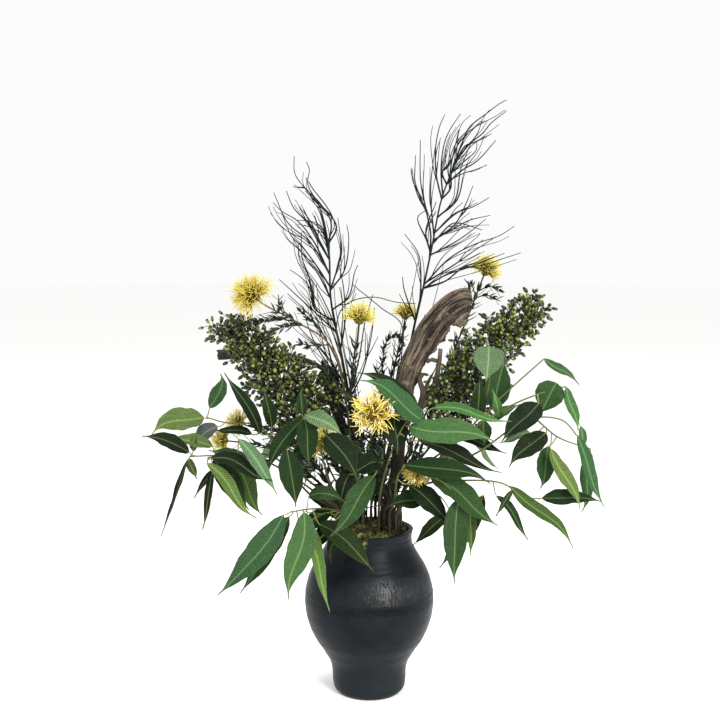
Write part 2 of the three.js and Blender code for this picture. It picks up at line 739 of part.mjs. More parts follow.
const BERRY_SPRAYS = {
  berries_left: {
    hole: [-34, 18],
    path: [
      [-40, 14, 350],
      [-58, 12, 400],
      [-95, 10, 455],
      [-135, 8, 505],
      [-180, 8, 552],
      [-222, 8, 582],
    ],
    reach: 60,
  },
  berries_right: {
    hole: [46, 28],
    path: [
      [70, 36, 345],
      [108, 28, 400],
      [140, 24, 460],
      [182, 22, 525],
      [225, 22, 575],
      [266, 22, 606],
    ],
    reach: 56,
  },
};

// ---------- Wands ----------
// A spray of bare wands: a main stem, and wands as lists of [x, z] that grow from the nearest place on it.
function wandSpray(name, seed, { hole, path, wands, spread }) {
  const random = seeded(seed);
  const stem = plantedStem(hole, path, WAND_STEM, 4, 45);
  holes.push(holeFor(hole, WAND_STEM[0], 4));
  const solids = [stem.solid];
  for (const wand of wands) {
    const root = nearestOn([stem.spine], new THREE.Vector3(wand[0][0], path.at(-1)[1], wand[0][1]));
    const away = spread * (2 * random() - 1);
    const rest = wand.slice(1);
    const points = rest.map(([x, z], i) => new THREE.Vector3(x, root.y + (away * (i + 1)) / rest.length, z));
    const curve = curveThrough([root, ...points]);
    solids.push(rod(curve, WAND, 3, Math.max(3, Math.round(curve.getLength() / 55))).solid);
  }
  piece(name, joined(solids), WANDS_GREEN, 0.6);
}

// Each spray of wands: where it stands, its main stem's path, how far its wands spread backwards and
// forwards, and the wands themselves.
const WANDS = {
  wands_left: {
    hole: [-14, 24],
    path: [
      [-24, 36, 360],
      [-32, 42, 456],
      [-49, 44, 550],
      [-60, 45, 612],
      [-64, 45, 699],
      [-80, 45, 762],
      [-100, 45, 786],
    ],
    spread: 26,
    wands: [
      [[-82, 765], [-115, 807], [-116, 834]],
      [[-64, 699], [-51, 724], [-82, 770], [-93, 805], [-98, 826]],
      [[-65, 681], [-78, 750], [-91, 771]],
      [[-66, 678], [-92, 734], [-112, 737]],
      [[-67, 670], [-92, 726], [-127, 780]],
      [[-65, 650], [-86, 702], [-112, 735], [-151, 764]],
      [[-62, 640], [-92, 690], [-126, 732], [-147, 778]],
      [[-61, 633], [-83, 667], [-120, 711], [-135, 748]],
      [[-61, 612], [-81, 655], [-118, 707]],
      [[-57, 626], [-43, 687], [-49, 740]],
      [[-57, 616], [-39, 658], [-32, 707], [-35, 729]],
      [[-51, 596], [-32, 618], [-18, 667]],
      [[-61, 576], [-92, 628], [-125, 659]],
      [[-50, 560], [-93, 600], [-141, 644]],
    ],
  },
  wands_right: {
    hole: [10, 36],
    path: [
      [30, 55, 360],
      [56, 64, 483],
      [70, 68, 560],
      [84, 70, 622],
      [98, 70, 689],
      [113, 70, 767],
      [132, 70, 820],
    ],
    spread: 24,
    wands: [
      [[132, 820], [145, 857], [180, 899], [211, 920]],
      [[130, 815], [157, 855], [187, 884], [211, 903]],
      [[128, 811], [149, 848], [188, 868]],
      [[120, 790], [144, 813], [167, 827], [196, 859]],
      [[118, 792], [114, 811], [141, 857], [176, 891]],
      [[113, 767], [105, 807], [104, 850], [118, 900]],
      [[115, 741], [134, 767], [142, 815], [157, 855]],
      [[107, 718], [138, 748], [186, 771]],
      [[103, 700], [135, 730], [162, 790]],
      [[98, 679], [135, 702], [182, 738]],
      [[92, 634], [127, 677], [166, 699], [226, 727]],
      [[88, 630], [120, 642], [149, 661], [210, 675], [241, 685]],
      [[79, 603], [82, 640], [78, 683], [56, 715]],
      [[90, 680], [91, 746], [81, 796], [80, 861]],
      [[92, 690], [86, 746], [72, 797], [73, 838]],
      [[66, 560], [55, 628], [52, 648]],
    ],
  },
};

// ---------- Driftwood ----------
// A slab of weathered wood between a left and a right edge, each an [x, z], bulging forwards and ribbed
// lengthwise.
const SLAB_THICKNESS = 7;
const SLAB_COLUMNS = 6;

function slab(rows, depth) {
  const rings = rows.map(([left, right, bulge]) => {
    const across = (along, back) => {
      const [x, z] = [mix(left[0], right[0], along), mix(left[1], right[1], along)];
      const rib = back ? 0 : 1.1 * Math.cos(Math.PI * SLAB_COLUMNS * along);
      return new THREE.Vector3(x, depth - bulge * Math.sin(Math.PI * along) - rib + back, z);
    };
    const front = evenStops(SLAB_COLUMNS).map((along) => across(along, 0));
    const back = evenStops(SLAB_COLUMNS / 2).map((along) => across(1 - along, SLAB_THICKNESS));
    return [...front, ...back];
  });
  return solidOf(skin(rings));
}

const TRUNK = {
  hole: [28, 6],
  path: [
    [34, 2, 310],
    [42, 0, 350],
    [50, 0, 430],
    [54, 2, 480],
    [60, 4, 515],
  ],
  radii: [6.5, 9],
};
const PRONG = [
  [52, 0, 415],
  [67, -3, 439],
  [84, -4, 455],
  [98, -2, 478],
  [105, 0, 504],
  [109, 0, 540],
];
const PRONG_STUB = [
  [104, 0, 521],
  [95, 1, 523],
  [88, 2, 519],
];
const SECOND_PRONG = [
  [78, -4, 448],
  [82, -5, 475],
  [77, -6, 494],
  [82, -7, 502],
];

function driftwood() {
  const { hole, path, radii } = TRUNK;
  const trunk = plantedStem(hole, path, radii, 7, 34);
  holes.push(holeFor(hole, radii[0], 7));
  const top = slab(
    [
      [[44, 492], [64, 484], 4],
      [[49, 523], [84, 510], 10],
      [[64, 555], [97, 531], 12],
      [[77, 579], [112, 549], 14],
      [[92, 600], [124, 567], 15],
      [[110, 618], [134, 572], 17],
      [[130, 630], [146, 573], 18],
      [[152, 633], [152, 580], 16],
    ],
    6,
  );
  const prong = rod(curveThrough(PRONG.map(vec)), [5.5, 3.6], 6, 6);
  const stub = rod(curveThrough(PRONG_STUB.map(vec)), [3.4, 3], 5, 2);
  const second = rod(curveThrough(SECOND_PRONG.map(vec)), [5.5, 4], 6, 3);
  piece("driftwood", joined([trunk.solid, top, prong.solid, stub.solid, second.solid]), DRIFTWOOD, 0.9);
}

const BARK_STEM = {
  hole: [-26, 36],
  path: [
    [-30, 52, 330],
    [-38, 62, 380],
    [-46, 66, 415],
    [-52, 66, 440],
  ],
  radii: [4.5, 7],
};
const BARK_ARM = [
  [-66, 64, 500],
  [-97, 66, 513],
  [-141, 72, 526],
  [-190, 72, 534],
  [-232, 68, 538],
];

function bark() {
  const { hole, path, radii } = BARK_STEM;
  const stem = plantedStem(hole, path, radii, 7, 34);
  holes.push(holeFor(hole, radii[0], 7));
  const sheet = slab(
    [
      [[-53, 408], [-36, 404], 5],
      [[-60, 430], [-40, 423], 7],
      [[-68, 452], [-44, 444], 8],
      [[-74, 478], [-46, 468], 9],
      [[-77, 513], [-50, 497], 9],
    ],
    68,
  );
  const arm = rod(curveThrough(BARK_ARM.map(vec)), [7, 4], 6, 5);
  piece("bark", joined([stem.solid, sheet, arm.solid]), BARK, 0.9);
}

// ---------- Loose twigs ----------
// Thin single twigs: a straight one and an arching one.
const TWIGS = {
  twig_arching: {
    hole: [-4, 30],
    path: [
      [-20, 40, 380],
      [-40, 22, 500],
      [-50, 20, 580],
      [-36, 20, 607],
      [4, 24, 618],
      [41, 28, 610],
      [72, 34, 607],
    ],
  },
  twig_straight: {
    hole: [4, 20],
    path: [
      [34, 28, 400],
      [50, 32, 520],
      [50, 32, 575],
      [17, 28, 602],
      [-27, 24, 638],
    ],
  },
};

function looseTwig(name, { hole, path }) {
  piece(name, plantedStem(hole, path, LOOSE_TWIG, 4, 40).solid, TWIG_GREEN, 0.7);
  holes.push(holeFor(hole, LOOSE_TWIG[0], 4));
}

// ---------- Assembly ----------
const KINDS = [
  [leafySpray, SPRAYS, 11],
  [flower, FLOWERS, 41],
  [berrySpray, BERRY_SPRAYS, 71],
  [wandSpray, WANDS, 81],
];
for (const [make, shapes, firstSeed] of KINDS) {
  for (const [i, [name, shape]] of Object.entries(shapes).entries()) make(name, firstSeed + i, shape);
}
for (const [name, shape] of Object.entries(TWIGS)) looseTwig(name, shape);
driftwood();
bark();
piece("vase", vase(), STONEWARE, 0.75);
const allHoles = holes.reduce((sum, hole) => sum.add(hole));
piece("foam", foam().subtract(allHoles), FOAM, 0.95);
piece("moss", moss().subtract(allHoles), MOSS, 0.98);

export default arrangement;
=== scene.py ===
"""An ikebana arrangement in a dark stoneware vase: eucalyptus leaves, thread-petalled flowers, green berries,
bare wands, driftwood, bark and moss. The front is -Y. Lists of points are in millimetres."""

import math
import random

import bpy
from mathutils import Matrix, Vector, noise


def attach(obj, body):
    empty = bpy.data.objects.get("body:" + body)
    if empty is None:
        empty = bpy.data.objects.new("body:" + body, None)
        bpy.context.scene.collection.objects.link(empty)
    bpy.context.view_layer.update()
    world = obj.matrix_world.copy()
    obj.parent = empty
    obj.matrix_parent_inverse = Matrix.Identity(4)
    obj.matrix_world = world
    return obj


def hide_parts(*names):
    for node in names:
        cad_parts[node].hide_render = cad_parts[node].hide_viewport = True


bl_info = {
    "name": "Ikebana arrangement",
    "version": (1, 0, 0),
    "blender": (4, 5, 0),
    "location": "View3D > Sidebar > Ikebana",
    "description": "Builds the finished pieces of an ikebana arrangement in its vase",
    "category": "Add Mesh",
}

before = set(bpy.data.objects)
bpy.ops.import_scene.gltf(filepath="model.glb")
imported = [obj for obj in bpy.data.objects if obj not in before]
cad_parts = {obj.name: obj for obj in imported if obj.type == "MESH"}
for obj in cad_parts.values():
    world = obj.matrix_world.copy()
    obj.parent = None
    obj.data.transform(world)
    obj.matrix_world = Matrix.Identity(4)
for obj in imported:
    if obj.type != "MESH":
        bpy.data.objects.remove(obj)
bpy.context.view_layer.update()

MM = 0.001
FULL_TURN = 6.28
THINNEST = 0.12  # the least radius of a stem, in millimetres
BODY = "root"


# ---------- Small tools ----------
def linear(hex_colour):
    """A colour written as sRGB hex, as the linear values that shaders use."""
    parts = [int(hex_colour[i : i + 2], 16) / 255 for i in (1, 3, 5)]
    return [c / 12.92 if c <= 0.04045 else ((c + 0.055) / 1.055) ** 2.4 for c in parts] + [1.0]


def mix(a, b, share):
    return a + (b - a) * share


def blended(a, b, share):
    """One colour turned part of the way to another."""
    return [mix(p, q, share) for p, q in zip(a, b)]


def plug(made, ins):
    """Gives a node's inputs their values; an output is linked, and a node stands for its first output in use."""
    for key, value in ins.items():
        if isinstance(value, bpy.types.Node):
            value = next(socket for socket in value.outputs if socket.enabled)
        if isinstance(value, bpy.types.NodeSocket):
            made.id_data.links.new(value, made.inputs[key])
        else:
            made.inputs[key].default_value = value


def node(tree, kind, ins=None, **settings):
    """Adds a node with its settings and its inputs."""
    made = tree.nodes.new(kind)
    for key, value in settings.items():
        setattr(made, key, value)
    plug(made, ins or {})
    return made


def resampled(points, step):
    """The same line cut into even steps."""
    reach = [0.0]
    for a, b in zip(points, points[1:]):
        reach.append(reach[-1] + (b - a).length)
    count = max(2, round(reach[-1] / step))
    even, k = [points[0].copy()], 0
    for i in range(1, count):
        goal = reach[-1] * i / count
        while reach[k + 1] < goal:
            k += 1
        even.append(points[k].lerp(points[k + 1], (goal - reach[k]) / max(reach[k + 1] - reach[k], 1e-9)))
    return even + [points[-1].copy()]


def smooth_path(points, step):
    """A smooth curve through the points, in even steps."""
    points = [Vector(p) for p in points]
    ends = [points[0] * 2 - points[1], *points, points[-1] * 2 - points[-2]]
    dense = []
    for a, b, c, d in zip(ends, ends[1:], ends[2:], ends[3:]):
        u, v, w = (max((q - p).length ** 0.5, 1e-3) for p, q in ((a, b), (b, c), (c, d)))
        enter = ((b - a) / u - (c - a) / (u + v) + (c - b) / v) * v
        leave = ((c - b) / v - (d - b) / (v + w) + (d - c) / w) * v
        square, cube = 3 * (c - b) - 2 * enter - leave, 2 * (b - c) + enter + leave
        dense += [b + (enter + (square + cube * t) * t) * t for t in (k / 12 for k in range(12))]
    return resampled(dense + [points[-1]], step)


def planted(hole, path, step):
    """A stem's curve from its foot in the foam, straight up its hole and then along its path."""
    x, y = hole
    free = smooth_path([(x, y, STEM_FREE), (x, y, STEM_FREE + STEM_RISE), *path], step)
    return [Vector((x, y, STEM_FOOT)), *free]


def nearest(spots, point):
    point = Vector(point)
    return min(spots, key=lambda spot: (spot - point).length_squared)


def way_at(line, i):
    return (line[min(i + 1, len(line) - 1)] - line[max(i - 1, 0)]).normalized()


def square_to(way, towards):
    """The direction nearest to the wanted one that is square to the way."""
    flat = Vector(towards) - Vector(towards).dot(way) * way
    return flat.normalized() if flat.length > 1e-4 else way.orthogonal().normalized()


def turned(vector, axis, degrees):
    return Matrix.Rotation(math.radians(degrees), 3, axis) @ vector


# ---------- From points to a finished piece ----------
class Growth:
    """The lines and faces of one piece, with the values that the geometry nodes and the finishes read: tint, the
    colour of a leaf or stem; girth, a line's radius; and a vector and a number with names of their own. For leaves
    these are blade, how far a point is across and along its leaf and how wide the leaf is there, in millimetres,
    and under, whether it is on the lower side. For berries they are way and size."""

    def __init__(self, vector="blade", number="under"):
        self.points, self.edges, self.faces = [], [], []
        self.tints, self.girths, self.vectors, self.numbers = [], [], [], []
        self.vector_name, self.number_name = vector, number

    def spot(self, point, tint, girth=0.0, vector=(0.0, 0.0, 0.0), number=0.0):
        self.points.append(Vector(point) * MM)
        self.tints.extend(tint)
        self.girths.append(girth * MM)
        self.vectors.extend(vector)
        self.numbers.append(number)
        return len(self.points) - 1

    def line(self, points, girths, tint, tip_tint=None):
        """A stem through the points that thins and turns from one tint to the other."""
        last = None
        for i, point in enumerate(points):
            share = i / (len(points) - 1)
            girth = mix(girths[0], girths[1], share)
            here = self.spot(point, blended(tint, tip_tint or tint, share), max(girth, THINNEST))
            if last is not None:
                self.edges.append((last, here))
            last = here

    def mesh(self, name):
        made = bpy.data.meshes.new(name)
        made.from_pydata(self.points, self.edges, self.faces)
        values = (
            ("tint", "FLOAT_COLOR", "color", self.tints),
            ("girth", "FLOAT", "value", self.girths),
            (self.vector_name, "FLOAT_VECTOR", "vector", self.vectors),
            (self.number_name, "FLOAT", "value", self.numbers),
            ("is_line", "BOOLEAN", "value", [girth > 0 for girth in self.girths]),
        )
        for key, kind, field, data in values:
            made.attributes.new(key, kind, "POINT").data.foreach_set(field, data)
        return made


def new_object(name, mesh):
    made = bpy.data.objects.new(name, mesh)
    bpy.context.scene.collection.objects.link(made)
    return made


def baked(name, mesh, tree, inputs):
    """The mesh as the geometry nodes turn it, as a plain object."""
    made = new_object(name, mesh)
    modifier = made.modifiers.new(tree.name, "NODES")
    modifier.node_group = tree
    for item in tree.interface.items_tree:
        if item.in_out == "INPUT" and item.name in inputs:
            modifier[item.identifier] = inputs[item.name]
    graph = bpy.context.evaluated_depsgraph_get()
    result = bpy.data.meshes.new_from_object(
        made.evaluated_get(graph), preserve_all_data_layers=True, depsgraph=graph
    )
    if not result.polygons:
        raise RuntimeError(f"the geometry nodes left {name} without faces")
    made.modifiers.remove(modifier)
    made.data = result
    result.name = name
    return made


def seated(piece, slot, *nodes):
    """A finished piece rides on the body and stands for its nodes."""
    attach(piece, BODY)
    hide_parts(*nodes)


def tree_with(name, inputs):
    """A geometry node tree with its named inputs, and its input and output nodes."""
    tree = bpy.data.node_groups.new(name, "GeometryNodeTree")
    tree.interface.new_socket("Geometry", in_out="INPUT", socket_type="NodeSocketGeometry")
    for key, (kind, default) in inputs.items():
        socket = tree.interface.new_socket(key, in_out="INPUT", socket_type="NodeSocket" + kind)
        if default is not None:
            socket.default_value = default
    tree.interface.new_socket("Geometry", in_out="OUTPUT", socket_type="NodeSocketGeometry")
    return tree, node(tree, "NodeGroupInput").outputs, node(tree, "NodeGroupOutput")


def finish_tree(tree, geometry, given, out):
    """The end of a tree: real geometry, smooth faces, and a finish for the stems and one for the rest."""
    real = node(tree, "GeometryNodeRealizeInstances", {"Geometry": geometry})
    smooth = node(tree, "GeometryNodeSetShadeSmooth", {"Geometry": real})
    first = node(tree, "GeometryNodeSetMaterial", {"Geometry": smooth, "Material": given["Finish"]})
    is_line = node(tree, "GeometryNodeInputNamedAttribute", {"Name": "is_line"}, data_type="BOOLEAN")
    ins = {"Geometry": first, "Selection": is_line, "Material": given["Stem Finish"]}
    plug(out, {"Geometry": node(tree, "GeometryNodeSetMaterial", ins)})


def tubes(tree, lines, sides, radius):
    """Round closed tubes along curves."""
    sized = node(tree, "GeometryNodeSetCurveRadius", {"Curve": lines, "Radius": radius})
    circle = node(tree, "GeometryNodeCurvePrimitiveCircle", {"Resolution": sides, "Radius": 1.0})
    tube = node(tree, "GeometryNodeCurveToMesh", {"Curve": sized, "Profile Curve": circle, "Fill Caps": True})
    # From Blender 4.5 on the profile is scaled by this input, and no longer by the radius alone.
    if "Scale" in tube.inputs:
        plug(tube, {"Scale": node(tree, "GeometryNodeInputRadius")})
    return tube


def stemmed(tree, given):
    """A piece's lines as round stems of their girth, and the rest of it."""
    is_line = node(tree, "GeometryNodeInputNamedAttribute", {"Name": "is_line"}, data_type="BOOLEAN")
    girth = node(tree, "GeometryNodeInputNamedAttribute", {"Name": "girth"}, data_type="FLOAT")
    parted = node(tree, "GeometryNodeSeparateGeometry", {"Geometry": given["Geometry"], "Selection": is_line})
    curves = node(tree, "GeometryNodeMeshToCurve", {"Mesh": parted})
    return tubes(tree, curves, given["Sides"], girth), parted.outputs["Inverted"]


def strewn(tree, given, shape, points, rotation, spins, shortest):
    """The shape on each point, turned on at random between two spins and from the shortest part of its length."""
    ins = {"Min": spins[0], "Max": spins[1], "Seed": given["Seed"]}
    spin = node(tree, "FunctionNodeRandomValue", ins, data_type="FLOAT_VECTOR")
    ins = {"Rotation": rotation, "Rotate By": spin}
    facing = node(tree, "FunctionNodeRotateRotation", ins, rotation_space="LOCAL")
    share = node(tree, "FunctionNodeRandomValue", {2: shortest, 3: 1.0, "Seed": given["Seed"]}, data_type="FLOAT")
    reach = node(tree, "ShaderNodeMath", {0: share, 1: given["Length"]}, operation="MULTIPLY")
    ins = {"Points": points, "Instance": shape, "Rotation": facing, "Scale": reach}
    return node(tree, "GeometryNodeInstanceOnPoints", ins)


FINISHES = {"Finish": ("Material", None), "Stem Finish": ("Material", None)}


def growth_tree():
    """Turns each line of a piece into a round stem, and keeps its faces."""
    tree, given, out = tree_with("growth", {"Sides": ("Int", 8), **FINISHES})
    stems, rest = stemmed(tree, given)
    both = node(tree, "GeometryNodeJoinGeometry", {"Geometry": rest})
    plug(both, {"Geometry": stems})
    finish_tree(tree, both, given, out)
    return tree


# ---------- Leaves ----------
# A stem's foot in the foam, where it comes free of the moss, and how far it goes straight on from there.
STEM_FOOT = 180
STEM_FREE = 276
STEM_RISE = 14
# Radii at the foot and at the tip.
STEM_GIRTHS = (2.1, 1.0)
TWIG_GIRTHS = (1.3, 0.9)
STALK_GIRTHS = (1.1, 0.7)
# Leaves face forwards and up. Half their least width is at the stalk and at the tip.
LEAF_FACING = Vector((0, -0.75, 0.66))
NARROWEST = (1.0, 0.95)
LEAF_ROWS = 18
LEAF_COLUMNS = (-1, -0.9, -0.7, -0.45, -0.2, -0.06, 0, 0.06, 0.2, 0.45, 0.7, 0.9, 1)
STALK = linear("#757a3c")
LEAFY_STEM = linear("#2c251b")
LEAFY_TIP = linear("#4f552c")
# The colours of the blades, from the leaves at the back and underneath to the young ones in the light. The dark
# tones hold painted shade as well as the leaves' own colour.
LEAF_TONES = {
    "shaded": "#0c180c",
    "deep": "#122410",
    "old": "#172310",
    "plain": "#30401f",
    "full": "#21371d",
    "sea": "#284329",
    "fresh": "#33502c",
    "bright": "#465a2f",
    "pale": "#465a41",
    "lime": "#43572d",
    "grey": "#3d4642",
}


def leaf_half(share, width):
    """Half a leaf's width: widest below its middle, and drawn out to a long tip."""
    fullness = math.sin(math.pi * share**0.7) ** (0.86 + 1.5 * share**4)
    return max(width / 2 * fullness, mix(*NARROWEST, share))


def leaf(growth, root, base, tip, width, tint, shape, draw, thickness):
    """A leaf on its stalk, as one closed blade: folded a little along its midrib, with a waved edge. Its shape
    may give how far it arches up and bends aside in its middle, in millimetres, and its roll, in degrees."""
    arch, bend, roll = shape.get("arch", 6), shape.get("bend", 0), shape.get("roll", 0)
    base, tip = Vector(base), Vector(tip)
    length, way = (tip - base).length, (tip - base).normalized()
    normal = turned(square_to(way, LEAF_FACING), way, roll)
    side = normal.cross(way)
    fold, twist, sway = 0.16 + 0.16 * draw.random(), draw.uniform(-20, 20), draw.uniform(-0.045, 0.045)
    hook = draw.choice((-1, 1)) * draw.uniform(0.01, 0.06) * length
    phases = [draw.uniform(0, FULL_TURN) for _ in range(3)]
    ripples = 0.05 + 0.06 * draw.random()
    tint = [c * draw.uniform(0.92, 1.08) for c in tint[:3]] + [1.0]

    def middle(share):
        """A point of the midrib: it arches, bends and sways, and its last third curls aside."""
        crown = 4 * share * (1 - share)
        curl = hook * max(0, (share - 0.68) / 0.32) ** 2
        out = side * (bend * crown + sway * length * math.sin(2 * math.pi * share) + curl)
        return base + way * length * share + normal * arch * crown + out

    rows = []
    for i in range(LEAF_ROWS):
        share = (i / LEAF_ROWS) ** 0.93
        at, ahead = middle(share), (middle(share + 0.01) - middle(max(share - 0.01, 0))).normalized()
        up = turned(square_to(ahead, normal), ahead, twist * (share - 0.3))
        across = up.cross(ahead)
        half = leaf_half(share, width)
        # The midrib has its full height where the leaf is over 8 mm wide.
        body = min(1.0, half / 4)
        top, low = [], []
        for u in LEAF_COLUMNS:
            wave = 0.1 * half * u * math.sin(9 * share + phases[0])
            wave += ripples * half * u * abs(u) * math.sin(21 * share + phases[1] + (1.5 if u > 0 else 0))
            edge = 1 + 0.03 * math.sin(33 * share + phases[2] + 3 * u)
            crease = max(0, 1 - abs(u) * half / 1.1)
            lift = fold * half * abs(u) ** 1.25 + wave - 0.35 * crease * body
            spot = at + across * (u * half * edge) + up * lift
            blade = (u * half, share * length, half)
            top.append(growth.spot(spot, tint, 0.0, blade))
            if abs(u) == 1:
                low.append(top[-1])
            else:
                rib = 0.9 * crease * (1 - 0.7 * share) * body
                low.append(growth.spot(spot - up * (thickness * (1 - 0.4 * abs(u)) + rib), tint, 0.0, blade, 1.0))
        rows.append((top, low))
    end = growth.spot(middle(1), tint, 0.0, (0, length, 0.1))
    add = growth.faces.append
    for (top, low), (far_top, far_low) in zip(rows, rows[1:]):
        for j in range(len(top) - 1):
            add((top[j], far_top[j], far_top[j + 1], top[j + 1]))
            add((low[j], low[j + 1], far_low[j + 1], far_low[j]))
    top, low = rows[-1]
    for j in range(len(top) - 1):
        add((top[j], end, top[j + 1]))
        add((low[j], low[j + 1], end))
    top, low = rows[0]
    add([*top, *reversed(low[1:-1])])

    sag = Vector((0, 0, -0.12 * (base - root).length))
    stalk = smooth_path([root, root.lerp(base, 0.55) + sag, base, base + way * 3], 3)
    growth.line(stalk, STALK_GIRTHS, blended(STALK, LEAFY_TIP, draw.random()), blended(STALK, tint, 0.25))


def leafy_spray(name, seed, row, settings, tree, finishes):
    """A leafy stem with its side twigs and leaves."""
    draw = random.Random(seed)
    growth = Growth()
    stem = planted(row["hole"], row["path"], 5)
    growth.line(stem, STEM_GIRTHS, LEAFY_STEM, LEAFY_TIP)
    spots = stem[1:]
    for points in row.get("twigs", ()):
        twig = smooth_path([nearest(stem, points[0]), *points[1:]], 5)
        growth.line(twig, TWIG_GIRTHS, blended(LEAFY_STEM, LEAFY_TIP, 0.5), LEAFY_TIP)
        spots = spots + twig
    for base, tip, width, tone, *shape in row["leaves"]:
        way = (Vector(tip) - Vector(base)).normalized()
        root = nearest(spots, Vector(base) - way * 10)
        tint = [c * settings.leaf_light for c in linear(LEAF_TONES[tone])[:3]] + [1.0]
        leaf(growth, root, base, tip, width, tint, shape[0] if shape else {}, draw, settings.leaf_thickness / MM)
    inputs = {"Sides": 8, "Finish": finishes[0], "Stem Finish": finishes[1]}
    made = baked(name + "_spray", growth.mesh(name), tree, inputs)
    seated(made, "leaf", name)


